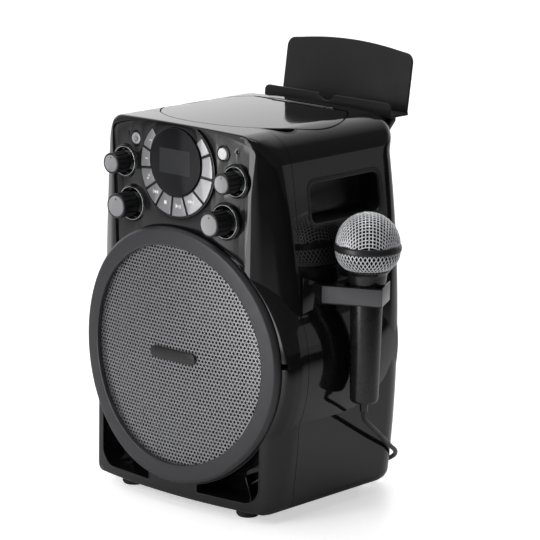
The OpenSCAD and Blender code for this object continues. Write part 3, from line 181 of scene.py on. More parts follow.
LOOKS = {
    "gloss_black": gloss("gloss_black_shell", (0.0075, 0.0074, 0.0078)),
    "gloss_inner": satin("satin_black_inside", (0.008, 0.008, 0.009), 0.42, level=0.4),
    "dial_black": gloss("gloss_black_dial", (0.006, 0.006, 0.0065), 0.12),
    "satin_black": satin("satin_black", (0.0125, 0.0125, 0.0135), 0.33, level=0.45),
    "cradle": satin("cradle_black", (0.021, 0.0195, 0.0215), 0.5, level=0.3),
    "ring": satin("ring_paint", (0.037, 0.035, 0.038), 0.38, metal=0.2, level=0.45),
    "panel": gloss("panel_graphite", (0.008, 0.008, 0.009), 0.16, 0.66),
    "grille": satin("grille_paint", (0.33, 0.33, 0.34), 0.3, metal=0.6),
    "badge": satin("badge_dark", (0.009, 0.009, 0.01), 0.2),
    "key_silver": satin("key_silver", (0.42, 0.42, 0.43), 0.34, metal=0.5),
    "key_grey": satin("key_grey", (0.26, 0.26, 0.27), 0.34, metal=0.5),
    "chrome": Finish("bezel_chrome", (0.5, 0.5, 0.52), 0.16, metal=1.0).mottle(90, 0.06).uneven(140, 0.05).mat,
    "knob_rubber": satin("knob_black", (0.011, 0.011, 0.012), 0.36, level=0.45),
    "knob_cap": satin("knob_face", (0.33, 0.33, 0.34), 0.34, metal=0.5),
    "white": satin("button_white", (0.78, 0.78, 0.77), 0.3),
    "icon": satin("print_white", (0.8, 0.8, 0.8), 0.45),
    "icon_dark": satin("print_dark", (0.03, 0.03, 0.032), 0.45),
    "glass": gloss("display_glass", (0.007, 0.007, 0.0085), 0.16, 0.2),
    "display": satin("display_face", (0.014, 0.0145, 0.016), 0.2),
    "steel_wire": Finish("mesh_wire", (0.88, 0.88, 0.9), 0.32, metal=0.4).mottle(700, 0.1).uneven(600, 0.08).mat,
    "foam": satin("foam_black", (0.006, 0.006, 0.006), 0.9, level=0.1, depth=0.0004, per_metre=1200),
    "mic_black": satin("handle_black", (0.012, 0.012, 0.013), 0.27, level=0.5),
    "mic_band": satin("band_black", (0.02, 0.02, 0.022), 0.33, level=0.5),
    "strap": satin("strap_grey", (0.095, 0.095, 0.103), 0.4),
    "cord": satin("cord_rubber", (0.012, 0.012, 0.0125), 0.48, depth=0.00003, per_metre=1500),
    "foot": satin("foot_rubber", (0.012, 0.012, 0.012), 0.75, depth=0.00005, per_metre=1400),
    "metal": Finish("part_metal", (0.5, 0.5, 0.51), 0.33, metal=1.0).mottle(500, 0.1).uneven(300, 0.1).mat,
    "dark_metal": satin("screw_black", (0.06, 0.06, 0.065), 0.35, metal=0.8),
    "plug_metal": Finish("plug_nickel", (0.6, 0.6, 0.62), 0.2, metal=1.0).mottle(500, 0.08).uneven(400, 0.06).mat,
    "board": satin("board_green", (0.015, 0.075, 0.03), 0.35),
    "paper": satin("cone_paper", (0.018, 0.018, 0.02), 0.8, depth=0.00012, per_metre=900),
    "rubber": satin("surround_rubber", (0.012, 0.012, 0.012), 0.55),
    "hub": satin("hub_silver", (0.55, 0.55, 0.56), 0.28, metal=0.5),
    "pot": satin("pot_case", (0.12, 0.16, 0.13), 0.5),
    "lens": gloss("pickup_lens", (0.03, 0.02, 0.06), 0.03, 0.6),
    "socket_dark": satin("socket_black", (0.01, 0.01, 0.01), 0.5),
    "led": gloss("led_dark", (0.008, 0.006, 0.006), 0.1),
}


# ---------------------------------------------------------------- making pieces
def add(name, mesh, look, body="body", replaces=(), sharp=35.0, normals=None):
    obj = bpy.data.objects.new(name, mesh)
    scene.collection.objects.link(obj)
    mesh.materials.clear()
    for item in [look] if isinstance(look, str) else look:
        mesh.materials.append(LOOKS[item])
    mesh.shade_smooth()
    mesh.set_sharp_from_angle(angle=math.radians(sharp))
    if normals is not None:
        normals(mesh)
    if body:
        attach(obj, body)
    if replaces:
        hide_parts(*replaces)
    return obj


def to_mesh(name, parts):
    """One closed mesh from (points, faces) parts in the body frame, faces turned outwards."""
    bm = bmesh.new()
    for pts, faces in parts:
        verts = [bm.verts.new(p) for p in row(pts)]
        for f in faces:
            ids = list(dict.fromkeys(f))
            if len(ids) > 2:
                try:
                    bm.faces.new([verts[i] for i in ids])
                except ValueError:  # the same face a second time
                    continue
        bmesh.ops.remove_doubles(bm, verts=verts, dist=2e-7)
    bmesh.ops.dissolve_degenerate(bm, dist=1e-8, edges=bm.edges)
    bmesh.ops.recalc_face_normals(bm, faces=bm.faces)
    mesh = bpy.data.meshes.new(name)
    bm.to_mesh(mesh)
    bm.free()
    return mesh


def rounded(corners, r=1.0, steps=4, closed=True):
    """A 2D line with its corners rounded; a corner may carry its own radius as a third number."""
    out = []
    n = len(corners)
    for i, c in enumerate(corners):
        rad = c[2] if len(c) > 2 else r
        p = np.array(c[:2], float)
        if (not closed and i in (0, n - 1)) or rad <= 0:
            out.append(tuple(p))
            continue
        a = np.array(corners[i - 1][:2], float) - p
        b = np.array(corners[(i + 1) % n][:2], float) - p
        la, lb = np.linalg.norm(a), np.linalg.norm(b)
        a, b = a / la, b / lb
        cosine = float(np.clip(a @ b, -1, 1))
        half = math.acos(cosine) / 2
        if half > math.radians(88.5):
            out.append(tuple(p))
            continue
        cut = min(rad / math.tan(half), 0.49 * la, 0.49 * lb)
        rad = cut * math.tan(half)
        centre = p + (a + b) / np.linalg.norm(a + b) * rad / math.sin(half)
        s, e = p + a * cut - centre, p + b * cut - centre
        turn = math.acos(float(np.clip(s @ e / (np.linalg.norm(s) * np.linalg.norm(e)), -1, 1)))
        for k in range(steps + 1):
            t = k / steps
            if turn < 1e-6:
                out.append(tuple(p))
                break
            v = (math.sin((1 - t) * turn) * s + math.sin(t * turn) * e) / math.sin(turn)
            out.append(tuple(centre + v))
    return out


def inset(line, d):
    """A closed 2D line moved inwards by d (outwards if negative), for small d."""
    p = np.array(line, float)
    q, s = np.roll(p, -1, 0) - p, p - np.roll(p, 1, 0)
    area = np.sum(p[:, 0] * np.roll(p[:, 1], -1) - np.roll(p[:, 0], -1) * p[:, 1])
    unit = lambda v: v / np.maximum(np.linalg.norm(v, axis=1, keepdims=True), 1e-9)
    q, s = unit(q), unit(s)
    m = unit(q + s)
    nrm = np.stack([-m[:, 1], m[:, 0]], 1) * (1 if area > 0 else -1)
    scale = 1 / np.clip(np.sum(m * q, 1), 0.5, 1)
    return p + nrm * d * scale[:, None]


def strip(n, i, j):
    """The faces between rings i and j of n points each."""
    return [(i * n + k, i * n + (k + 1) % n, j * n + (k + 1) % n, j * n + k) for k in range(n)]


def loft(rings, first=True, last=True, around=False):
    """A skin over rings with equal numbers of points; ends closed by faces, or the last ring joined to the first."""
    n = len(rings[0])
    m = len(rings)
    pts = [p for ring in rings for p in ring]
    faces = [f for i in range(m if around else m - 1) for f in strip(n, i, (i + 1) % m)]
    if first and not around:
        faces.append(tuple(range(n)))
    if last and not around:
        faces.append(tuple(range((m - 1) * n, m * n)))
    return pts, faces


def lathe(profile, centre, axis="y", n=96, around=False, shape=None):
    """Turns (radius, along) pairs round an axis. shape(angle, i) scales the radius of profile point i."""
    rings = []
    for i, (r, h) in enumerate(profile):
        ring = []
        for k in range(n):
            a = 2 * math.pi * k / n
            q = r * (shape(a, i) if shape else 1.0)
            u, v = q * math.cos(a), q * math.sin(a)
            at = {
                "y": (centre[0] + u, h, centre[1] + v),
                "z": (centre[0] + u, centre[1] + v, h),
                "x": (h, centre[0] + u, centre[1] + v),
            }[axis]
            ring.append(at)
        rings.append(ring)
    return loft(rings, first=False, last=False, around=around)


def slab(line, y0, y1, edge=0.5, axis="y", steps=3):
    """A flat piece with rounded edges: a closed 2D outline with thickness from y0 to y1 along an axis."""
    sign = 1 if y1 > y0 else -1
    rounding = lambda t: (edge - edge * math.sin(t), sign * edge * (1 - math.cos(t)))
    rings = [(d, y0 + h) for d, h in map(rounding, np.linspace(0, math.pi / 2, steps + 1))]
    rings += [(d, y1 - h) for d, h in map(rounding, np.linspace(math.pi / 2, 0, steps + 1))]
    place = {"y": lambda a, b, y: (a, y, b), "z": lambda a, b, y: (a, b, y)}[axis]
    return loft([[place(a, b, y) for a, b in inset(line, d)] for d, y in rings])


def prism(line, y0=0, y1=30):
    """A closed 2D outline drawn straight back from y0 to y1."""
    return loft([[(a, y, b) for a, b in line] for y in (y0, y1)])


def circle(cx, cz, r, n=96, start=0.0, end=360.0):
    full = abs(end - start) >= 360
    ts = np.linspace(math.radians(start), math.radians(end), n + (0 if full else 1), endpoint=not full)
    return [(cx + r * math.cos(t), cz + r * math.sin(t)) for t in ts]


def round_rect(x0, z0, x1, z1, r, steps=6):
    return rounded([(x0, z0), (x1, z0), (x1, z1), (x0, z1)], r, steps)


def tube(path, r, sides=10, caps=True):
    """A round bar along a line of points, its rings square to the line and without twist."""
    p = np.array(path, float)
    way = np.gradient(p, axis=0)
    way /= np.linalg.norm(way, axis=1, keepdims=True)
    up = np.array([0, 0, 1.0]) if abs(way[0][2]) < 0.9 else np.array([1.0, 0, 0])
    s = np.cross(way[0], up)
    s /= np.linalg.norm(s)
    rings = []
    for k in range(len(p)):
        s = s - way[k] * (s @ way[k])
        s /= np.linalg.norm(s)
        u = np.cross(way[k], s)
        rad = r if np.isscalar(r) else r[k]
        rings.append([tuple(p[k] + rad * (math.cos(a) * s + math.sin(a) * u))
                      for a in np.linspace(0, 2 * math.pi, sides, endpoint=False)])
    return loft(rings, caps, caps)


def box(a, b, edge=0.5):
    line = rounded([(a[0], a[2]), (b[0], a[2]), (b[0], b[2]), (a[0], b[2])], min(edge * 1.5, 2.0), 3)
    return slab(line, a[1], b[1], edge, steps=2)


# ---------------------------------------------------------------- the body's own surfaces
def side_x(z):
    return HALF_W - (z - 130.0) ** 2 / 2000.0


def bow(x):
    return BOW_R - np.sqrt(BOW_R**2 - np.asarray(x, float) ** 2)


def crown(x):
    return CROWN * (np.asarray(x, float) / HALF_W) ** 2


def meet(a, b, r):
    """Two distances to walls that meet in a corner of radius r."""
    return np.minimum(np.maximum(a, b) + r, 0) + np.hypot(np.maximum(a + r, 0), np.maximum(b + r, 0)) - r


def step(t):
    t = np.clip(t, 0, 1)
    return t * t * (3 - 2 * t)


def cheek(z):
    """Where the cheek plane starts on the face and where it reaches y = 30, at a height."""
    t = step((z - 100.0) / 65.0)
    return 99.0 - 19.0 * t, 109.0 - 5.0 * t


def skin(p, i=0.0):
    """Distance outside the body, or outside its hollow if i is the wall's thickness, in the body frame."""
    x, y, z = np.abs(p[:, 0]), p[:, 1], p[:, 2]
    d = meet(x - side_x(z) + i, z - (BODY_TOP - crown(x)) + i, SHOULDER_R - i)
    d = meet(d, y - REAR_Y + i, REAR_R - i - 17.0 * step((z - 296.0) / 30.0))
    d = meet(d, 8.0 - z + i, 9.0 - i)
    cx, ce = cheek(z)
    sy = FRONT_Y + bow(cx)
    dx, dy = ce - cx, 30.0 - sy
    d = meet(d, ((x - cx) * dy - (y - sy) * dx) / np.hypot(dx, dy) + i, 5.0 - i)
    return meet(d, FRONT_Y + bow(x) - y + i, 1.8 if i == 0 else 0.8)


def slope(p, inner=0.0, h=0.02):
    g = np.zeros_like(p)
    for i in range(3):
        e = np.zeros(3)
        e[i] = h
        g[:, i] = (skin(p + e, inner) - skin(p - e, inner)) / (2 * h)
    return g


def onto_skin(p, inner=0.0, rounds=6):
    for _ in range(rounds):
        g = slope(p, inner)
        p = p - g * (skin(p, inner) / np.maximum(np.sum(g * g, 1), 1e-6))[:, None]
    return p


def top_z(x, y):
    z = np.full(len(x), BODY_TOP)
    for _ in range(8):
        p = np.stack([x, y, z], 1)
        e = np.array([0, 0, 0.02])
        z = z - skin(p) / np.maximum((skin(p + e) - skin(p - e)) / 0.04, 0.2)
    return z


def body_shell(i=0.0):
    """The body as one closed skin: rows of equally many points, from the middle of the underside to the top's middle.
    i moves it inwards, to the inside of the wall."""
    low, shoulder, rear_r = 9.0 - i, SHOULDER_R - i, 13.0 - i
    rows = []
    for a in np.linspace(math.pi / 2, 0, 6)[:-1]:
        rows.append((8 + i + low * (1 - math.sin(a)), low * (1 - math.cos(a)), low * (1 - math.cos(a)), 0))
    for z in np.linspace(17, 307, 50):
        rows.append((z, 0.0, 0.0, step((z - 200) / 107)))
    for a in np.linspace(0, math.pi / 2, 14)[1:]:
        deep = shoulder * (1 - math.sin(a))
        rear = 0.0 if deep >= rear_r else rear_r - math.sqrt(rear_r**2 - (rear_r - deep) ** 2)
        rows.append((BODY_TOP - i - deep, shoulder * (1 - math.cos(a)), rear, 1.0))
    rings = []
    for z, in_side, in_rear, w in rows:
        cx, ce = [float(v) for v in cheek(z)]
        fy = FRONT_Y + float(bow(cx))
        dx, dy = ce - cx, 30.0 - fy
        run = dx / dy
        cx = cx + i * (dx - math.hypot(dx, dy)) / dy
        fy = FRONT_Y + i + float(bow(cx))
        xs = side_x(min(z, 307.0)) - i - in_side
        yr = REAR_Y - i - in_rear
        flat = min(cx, xs)
        front = lambda x: FRONT_Y + i + float(bow(x))
        pts = [(t * (flat - 2.5), front(t * (flat - 2.5))) for t in np.linspace(0, 1, 15)[:-1]]
        pts += [(flat - d, front(flat - d)) for d in (2.5, 1.6, 0.8, 0.0)]
        if xs > cx + 2:
            end = (xs, fy + (xs - cx) / run)
            length = math.hypot(end[0] - cx, end[1] - fy)
            along = (0.8, 1.8, 0.3 * length, 0.6 * length, length - 4, length - 2.2, length - 1)
            for t in sorted(min(max(t, 0.0), length) for t in along):
                pts.append((cx + (end[0] - cx) * t / length, fy + (end[1] - fy) * t / length))
            y_from = end[1]
        else:
            end = (xs, front(xs))
            pts += [(xs, end[1] + d) for d in (0.3, 0.6, 0.9, 1.2, 1.5, 1.8, 2.1)]
            y_from = end[1] + 2.4
        pts += [(xs, y_from + y) for y in (0.01, 1.2, 2.6, 4.5)]
        start = pts[-1][1]
        r = REAR_R - i
        ys = [start + (SEAM_Y - start) * 0.5, SEAM_Y - SEAM_GAP, SEAM_Y + SEAM_GAP]
        ys += list(np.linspace(SEAM_Y + 5, yr - r, 18))
        pts += [(xs, y) for y in ys]
        pts += [(xs - r + r * math.cos(a), yr - r + r * math.sin(a)) for a in np.linspace(0, math.pi / 2, 12)[1:]]
        pts += [((xs - r) * (1 - t), yr) for t in np.linspace(0, 1, 12)[1:]]
        half = np.array(pts)
        ring = np.concatenate([half, half[1:-1][::-1] * np.array([-1, 1])])
        rings.append(np.column_stack([ring, z - w * crown(ring[:, 0])]))
    # level caps run in to the middle line
    for first in (True, False):
        edge = rings[0 if first else -1]
        middle = np.column_stack([np.zeros(len(edge)), np.clip(edge[:, 1], 40, 150), edge[:, 2]])
        more = [edge * (1 - t) + middle * t for t in (0.015, 0.04, 0.08, 0.2, 0.4, 0.6, 0.8, 1.0)]
        for ring in more:
            if not first:
                ring[:, 2] = BODY_TOP - i - crown(ring[:, 0])
        rings = more[::-1] + rings if first else rings + more
    n = len(rings[0])
    skinned = onto_skin(np.concatenate(rings), i)
    return loft([list(map(tuple, skinned[k * n:(k + 1) * n])) for k in range(len(rings))], first=False, last=False)


def on_skin_normals(mesh):
    """Gives the outside of the shell its own true normals, so reflections run evenly across the cut-outs."""
    co = np.empty(len(mesh.vertices) * 3)
    mesh.vertices.foreach_get("co", co)
    p = co.reshape(-1, 3) * 1000 + ORIGIN
    near = np.abs(skin(p)) < 0.12
    g = np.zeros_like(p)
    g[near] = slope(p[near])
    g[near] /= np.linalg.norm(g[near], axis=1, keepdims=True)
    loops = np.zeros((len(mesh.loops), 3))
    for f in mesh.polygons:
        nrm = np.array(f.normal)
        for li in f.loop_indices:
            v = mesh.loops[li].vertex_index
            if near[v] and g[v] @ nrm > 0.75:
                loops[li] = g[v]
    mesh.normals_split_custom_set([tuple(v) for v in loops])


def applied(obj):
    """The object's mesh with its modifiers applied, as a mesh of its own."""
    return bpy.data.meshes.new_from_object(obj.evaluated_get(bpy.context.evaluated_depsgraph_get()))


def cut(mesh, tools, mode="DIFFERENCE"):
    """The mesh less (or kept within) closed cutters, all in the body frame."""
    obj = bpy.data.objects.new("cut_work", mesh)
    scene.collection.objects.link(obj)
    helpers = []
    for i, part in enumerate(tools):
        tool = bpy.data.objects.new(f"cutter_{i}", to_mesh(f"cutter_{i}", [part]))
        scene.collection.objects.link(tool)
        helpers.append(tool)
        mod = obj.modifiers.new(f"cut_{i}", "BOOLEAN")
        mod.operation = mode
        mod.solver = "EXACT"
        mod.object = tool
    done = applied(obj)
    done.name = mesh.name
    bpy.data.objects.remove(obj)
    for tool in helpers:
        data = tool.data
        bpy.data.objects.remove(tool)
        bpy.data.meshes.remove(data)
    return done


def bevelled(mesh, width=0.5, angle=30):
    """The mesh with its edges eased, where they are sharper than the angle."""
    obj = bpy.data.objects.new("work", mesh)
    scene.collection.objects.link(obj)
    mod = obj.modifiers.new("ease", "BEVEL")
    mod.width = width * 0.001
    mod.segments = 2
    mod.limit_method = "ANGLE"
    mod.angle_limit = math.radians(angle)
    done = applied(obj)
    bpy.data.objects.remove(obj)
    return done


def bowed(mesh, every=4.0):
    """Bends a piece drawn flat along the bowed front, after it is cut into narrow strips."""
    bm = bmesh.new()
    bm.from_mesh(mesh)
    lo = min(v.co.x for v in bm.verts)
    hi = max(v.co.x for v in bm.verts)
    x = lo + every * 0.001
    while x < hi - 0.0002:
        bmesh.ops.bisect_plane(bm, geom=bm.verts[:] + bm.edges[:] + bm.faces[:], dist=1e-7,
                               plane_co=(x, 0, 0), plane_no=(1, 0, 0))
        x += every * 0.001
    for v in bm.verts:
        v.co.y += float(bow(v.co.x * 1000 + ORIGIN[0])) * 0.001
    bm.to_mesh(mesh)
    bm.free()
    return mesh


def joined(name, meshes):
    bm = bmesh.new()
    for m in meshes:
        bm.from_mesh(m)
    mesh = bpy.data.meshes.new(name)
    bm.to_mesh(mesh)
    bm.free()
    return mesh


def cad_copy(name, node, look, body="body", bevel=0.4, sharp=35.0):
    """A CAD node's own shape with its loose triangles joined and its edges eased."""
    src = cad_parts[node]
    bm = bmesh.new()
    bm.from_mesh(src.data)
    bm.transform(src.matrix_world)
    bmesh.ops.remove_doubles(bm, verts=bm.verts, dist=2e-6)
    bmesh.ops.dissolve_limit(bm, angle_limit=math.radians(0.8), verts=bm.verts, edges=bm.edges)
    mesh = bpy.data.meshes.new(name)
    bm.to_mesh(mesh)
    bm.free()
    if bevel:
        mesh = bevelled(mesh, bevel)
        mesh.name = name
    return add(name, mesh, look, body, (node,), sharp)


# ---------------------------------------------------------------- repeats grown by geometry nodes
def node_tree(name, inputs):
    tree = bpy.data.node_groups.new(name, "GeometryNodeTree")
    tree.interface.new_socket("Geometry", in_out="INPUT", socket_type="NodeSocketGeometry")
    for label, kind in inputs.items():
        tree.interface.new_socket(label, in_out="INPUT", socket_type="NodeSocket" + kind)
    tree.interface.new_socket("Geometry", in_out="OUTPUT", socket_type="NodeSocketGeometry")
    start = tree.nodes.new("NodeGroupInput")
    end = tree.nodes.new("NodeGroupOutput")

    def node(kind, **links):
        n = tree.nodes.new("GeometryNode" + kind)
        for key, value in links.items():
            socket = n.inputs[key.replace("_", " ")]
            if isinstance(value, bpy.types.NodeSocket):
                tree.links.new(value, socket)
            else:
                socket.default_value = value
        return n

    def close(socket):
        real = node("RealizeInstances", Geometry=socket)
        painted = node("SetMaterial", Geometry=real.outputs[0], Material=start.outputs["Finish"])
        tree.links.new(painted.outputs[0], end.inputs[0])

    return tree, start, node, close


def perforated_tree():
    tree, start, node, close = node_tree("perforated_sheet", {
        "Tile Radius": "Float", "Hole Radius": "Float", "Thickness": "Float", "Finish": "Material"})
    tile = node("CurvePrimitiveCircle", Resolution=6, Radius=start.outputs["Tile Radius"])
    hole = node("CurvePrimitiveCircle", Resolution=10, Radius=start.outputs["Hole Radius"])
    both = tree.nodes.new("GeometryNodeJoinGeometry")
    tree.links.new(tile.outputs[0], both.inputs[0])
    tree.links.new(hole.outputs[0], both.inputs[0])
    filled = node("FillCurve", Curve=both.outputs[0])
    spread = node("InstanceOnPoints", Points=start.outputs["Geometry"], Instance=filled.outputs[0])
    flat = node("MergeByDistance", Geometry=node("RealizeInstances", Geometry=spread.outputs[0]).outputs[0],
                Distance=0.00002)
    up = tree.nodes.new("ShaderNodeCombineXYZ")
    tree.links.new(start.outputs["Thickness"], up.inputs["Z"])
    thick = node("ExtrudeMesh", Mesh=flat.outputs[0], Offset=up.outputs[0], Offset_Scale=1.0, Individual=False)
    under = node("FlipFaces", Mesh=flat.outputs[0])
    shell = tree.nodes.new("GeometryNodeJoinGeometry")
    tree.links.new(thick.outputs[0], shell.inputs[0])
    tree.links.new(under.outputs[0], shell.inputs[0])
    whole = node("MergeByDistance", Geometry=shell.outputs[0], Distance=0.00001)
    close(whole.outputs[0])
    return tree


def wire_tree():
    tree, start, node, close = node_tree("wire_strands", {
        "Wire Radius": "Float", "Sides": "Int", "Finish": "Material"})
    strands = node("MeshToCurve", Mesh=start.outputs["Geometry"])
    ring = node("CurvePrimitiveCircle", Resolution=start.outputs["Sides"], Radius=start.outputs["Wire Radius"])
    swept = node("CurveToMesh", Curve=strands.outputs[0], Profile_Curve=ring.outputs[0], Fill_Caps=True)
    close(swept.outputs[0])
    return tree


def repeat_tree():
    tree, start, node, close = node_tree("repeat_on_points", {
        "Piece": "Object", "Size": "Float", "Finish": "Material"})
    piece = node("ObjectInfo", Object=start.outputs["Piece"])
    turn = tree.nodes.new("GeometryNodeInputNamedAttribute")
    turn.data_type = "FLOAT_VECTOR"
    turn.inputs["Name"].default_value = "turn"
    placed = node("InstanceOnPoints", Points=start.outputs["Geometry"], Instance=piece.outputs["Geometry"],
                  Rotation=turn.outputs[0])
    size = tree.nodes.new("ShaderNodeCombineXYZ")
    for axis in "XYZ":
        tree.links.new(start.outputs["Size"], size.inputs[axis])
    tree.links.new(size.outputs[0], placed.inputs["Scale"])
    close(placed.outputs[0])
    return tree


def grow(name, tree, points, values, edges=(), turns=None):
    """Runs a tree on a base of points (and strands) and returns the plain mesh."""
    base = bpy.data.meshes.new(name + "_base")
    base.from_pydata([tuple(p) for p in points], [tuple(e) for e in edges], [])
    if turns is not None:
        layer = base.attributes.new("turn", "FLOAT_VECTOR", "POINT")
        layer.data.foreach_set("vector", np.asarray(turns, np.float32).ravel())
    obj = bpy.data.objects.new(name + "_base", base)
    scene.collection.objects.link(obj)
    mod = obj.modifiers.new("grow", "NODES")
    mod.node_group = tree
    for item in tree.interface.items_tree:
        if item.in_out == "INPUT" and item.name in values:
            mod[item.identifier] = values[item.name]
    mesh = applied(obj)
    mesh.name = name
    obj.modifiers.clear()
    bpy.data.objects.remove(obj)
    return mesh


PERFORATED = perforated_tree()
WIRES = wire_tree()
REPEAT = repeat_tree()


# ---------------------------------------------------------------- cord first: its line, then its mesh
CORD_R = 2.0
LIE = CORD_R + 0.05
COIL = (0.0, 234.0)
COIL_PITCH = 4.5
COIL_TURNS = 5.5
COIL_IN = 11.0
COIL_OUT = COIL_IN + COIL_PITCH * COIL_TURNS
KNOTS = [(135, 97, 91), (135, 97, 87), (134.8, 100, 82.5), (133, 109, 76), (129, 124, 66), (124, 139, 56),
         (118, 154, 46.5), (111.5, 169, 38), (103, 181, 31), (93, 190, 24), (80, 195, 16.5), (68, 197.5, 10),
         (56, 198.5, 5), (44, 199, 2.3), (32, 198.8, LIE), (20, 198.4, LIE), (10, 198.3, LIE),
         (COIL[0] + 4.2, COIL[1] - COIL_OUT, LIE)]


def cord_line():
    k = np.array(KNOTS, float)
    get = lambda i: k[min(max(i, 0), len(k) - 1)]
    out = []
    for i in range(len(k) - 1):
        a, b, c, d = get(i - 1), get(i), get(i + 1), get(i + 2)
        for t in np.arange(6) / 6:
            p = 0.5 * (2 * b + (c - a) * t + (2 * a - 5 * b + 4 * c - d) * t**2 + (3 * b - a - 3 * c + d) * t**3)
            p[2] = max(p[2], LIE)
            out.append(p)
    out.append(k[-1])
    top = LIE + COIL_PITCH
    for u in np.arange(0, 2 * COIL_TURNS + 1e-6, 1 / 30):
        if u < COIL_TURNS:
            r = COIL_IN + COIL_PITCH * (COIL_TURNS - u)
        elif u < COIL_TURNS + 0.5:
            r = COIL_IN - 0.6 * math.sin(2 * math.pi * (u - COIL_TURNS))
        else:
            r = COIL_IN + COIL_PITCH * (u - COIL_TURNS - 0.5)
        z = LIE + COIL_PITCH * min(max((u - COIL_TURNS) * 2, 0), 1)
        a = math.radians(-90 - 360 * u)
        out.append(np.array([COIL[0] + r * math.cos(a), COIL[1] + r * math.sin(a), z]))
    last = out[-1]
    for x in (5, 10, 15, 20, 24, 27):
        out.append(last - np.array([x, 0, 0]))
    return np.array(out), last, top


def make_cord():
    """The lead and its plug; they are made here, before the other pieces."""
    line, last, top = cord_line()
    mesh = to_mesh("mic_lead", [tube(line, CORD_R, 12)])
    obj = add("mic_lead", mesh, "cord", None, ("mic_cord", "mic_cord_coil"), 60)
    px = last[0] - 27
    axis = (last[1], top)
    # plug: strain relief with grooves, knurled sleeve, tip with its insulating rings
    relief = [(0.0, px - 0.2), (3.0, px - 0.2)]
    for i in range(6):
        x = px - 0.8 - i * 1.2
        crest, groove = 3.0 + 0.25 * i, 2.7 + 0.22 * i
        relief += [(crest, x + 0.2), (crest, x - 0.5), (groove, x - 0.55), (groove, x - 0.95)]
    sleeve = [(4.6, px - 8), (6.0, px - 8.2), (6.45, px - 8.8), (6.45, px - 12)]
    for i in range(8):
        x = px - 13 - i * 1.6
        sleeve += [(6.45, x), (6.1, x - 0.2), (6.1, x - 0.7), (6.45, x - 0.9)]
    sleeve += [(6.45, px - 36.8), (6.0, px - 38), (3.15, px - 38)]
    tip = [(3.15, 38), (3.15, 45), (2.9, 45.1), (2.9, 46), (3.15, 46.1), (3.15, 56), (2.9, 56.1), (2.9, 57),
           (3.15, 57.1), (3.15, 60), (2.3, 61.4), (2.4, 63), (2.6, 64), (2.2, 66.2), (1.3, 67.8), (0.0, 68)]
    whole = relief + sleeve + [(r, px - x) for r, x in tip]
    plug = to_mesh("mic_plug_turned", [lathe(whole, axis, "x", 40)])
    split = px - 38.0
    for f in plug.polygons:
        x = f.center.x * 1000 + ORIGIN[0]
        f.material_index = 0 if x > split + 0.02 else 1
    looks = ["knob_rubber", "plug_metal"]
    made = add("mic_plug_turned", plug, looks, "body", ("mic_plug",), 30)
    return obj


cord_obj = make_cord()


# ---------------------------------------------------------------- outlines of the front's parts
def panel_top(x):
    x = np.asarray(x, float)
    return BODY_TOP - 1.6 - crown(x) - 9.0 * (x / 82.0) ** 4


def mirror_line(right):
    """A closed outline from its right half, from the middle below, round the right side, to the middle above."""
    return right + [(-x, z) for x, z in right[::-1] if abs(x) > 1e-6]


def panel_line(d):
    """The control panel's outline grown by d; below, it follows the speaker ring."""
    r = 108.0 - d
    slope_x = 9.0 / (313.0 - 205.0)
    x = 73.0 + d
    z = RING_Z + math.sqrt(r * r - x * x)
    x = 73.0 + d + (z - 205.0) * slope_x
    z = RING_Z + math.sqrt(r * r - x * x)
    a1 = math.degrees(math.atan2(z - RING_Z, x))
    right = [p for p in circle(0, RING_Z, r, 26, 90, a1)]
    right += [(74 + (8 + d) * math.cos(a), 313 + (8 + d) * math.sin(a)) for a in np.radians(np.linspace(0, 75, 9))]
    right += [(xx, float(panel_top(xx)) + d) for xx in np.linspace(71, 0, 22)]
    return mirror_line(right)


def dial_line(r, d):
    pts = []
    for x, z in circle(0, DIAL_Z, r, 144, -90, 270):
        pts.append((x, min(z, float(panel_top(x)) + d)))
    return pts


DIVIDERS = [46.7, 23.3, -6.9, -39.2, -69, -95.9, -122.8, -146.8, -173.3, -199.7, -229.4]


def key_line(k, grow_by=0.0):
    """One key between the dial's rim and the display, its sides level with the bars."""
    g = 0.9 + 0.15 - grow_by
    outer, inner = 40.9 + grow_by, 30.2 - grow_by
    a1, a0 = math.radians(DIVIDERS[k]), math.radians(DIVIDERS[k + 1])

    def hit(a, side, radius, cz):
        d = np.array([math.cos(a), math.sin(a)])
        n = np.array([-d[1], d[0]]) * side * g
        o = n - np.array([0.0, cz])
        b = float(o @ d)
        t = -b + math.sqrt(b * b - (float(o @ o) - radius * radius))
        return n + d * t

    off = DISPLAY_Z - DIAL_Z
    o0, o1 = hit(a0, 1, outer, 0.0), hit(a1, -1, outer, 0.0)
    i0, i1 = hit(a0, 1, inner, off), hit(a1, -1, inner, off)
    arc = []
    s, e = math.atan2(o0[1], o0[0]), math.atan2(o1[1], o1[0])
    e = e if e > s else e + 2 * math.pi
    arc += [(outer * math.cos(t), outer * math.sin(t)) for t in np.linspace(s, e, 12)]
    s, e = math.atan2(i1[1] - off, i1[0]), math.atan2(i0[1] - off, i0[0])
    s = s if s > e else s + 2 * math.pi
    arc += [(inner * math.cos(t), off + inner * math.sin(t)) for t in np.linspace(s, e, 10)]
    return [(x, DIAL_Z + z) for x, z in arc]


def soft_corners(line, r=0.8):
    """Rounds only the sharp corners of a dense outline."""
    p = np.array(line)
    out = []
    n = len(p)
    for i in range(n):
        a, b = p[i - 1] - p[i], p[(i + 1) % n] - p[i]
        c = (a @ b) / (np.linalg.norm(a) * np.linalg.norm(b))
        out.append((p[i][0], p[i][1], r if c > -0.85 else 0.0))
    return rounded(out, 0.0, 4)


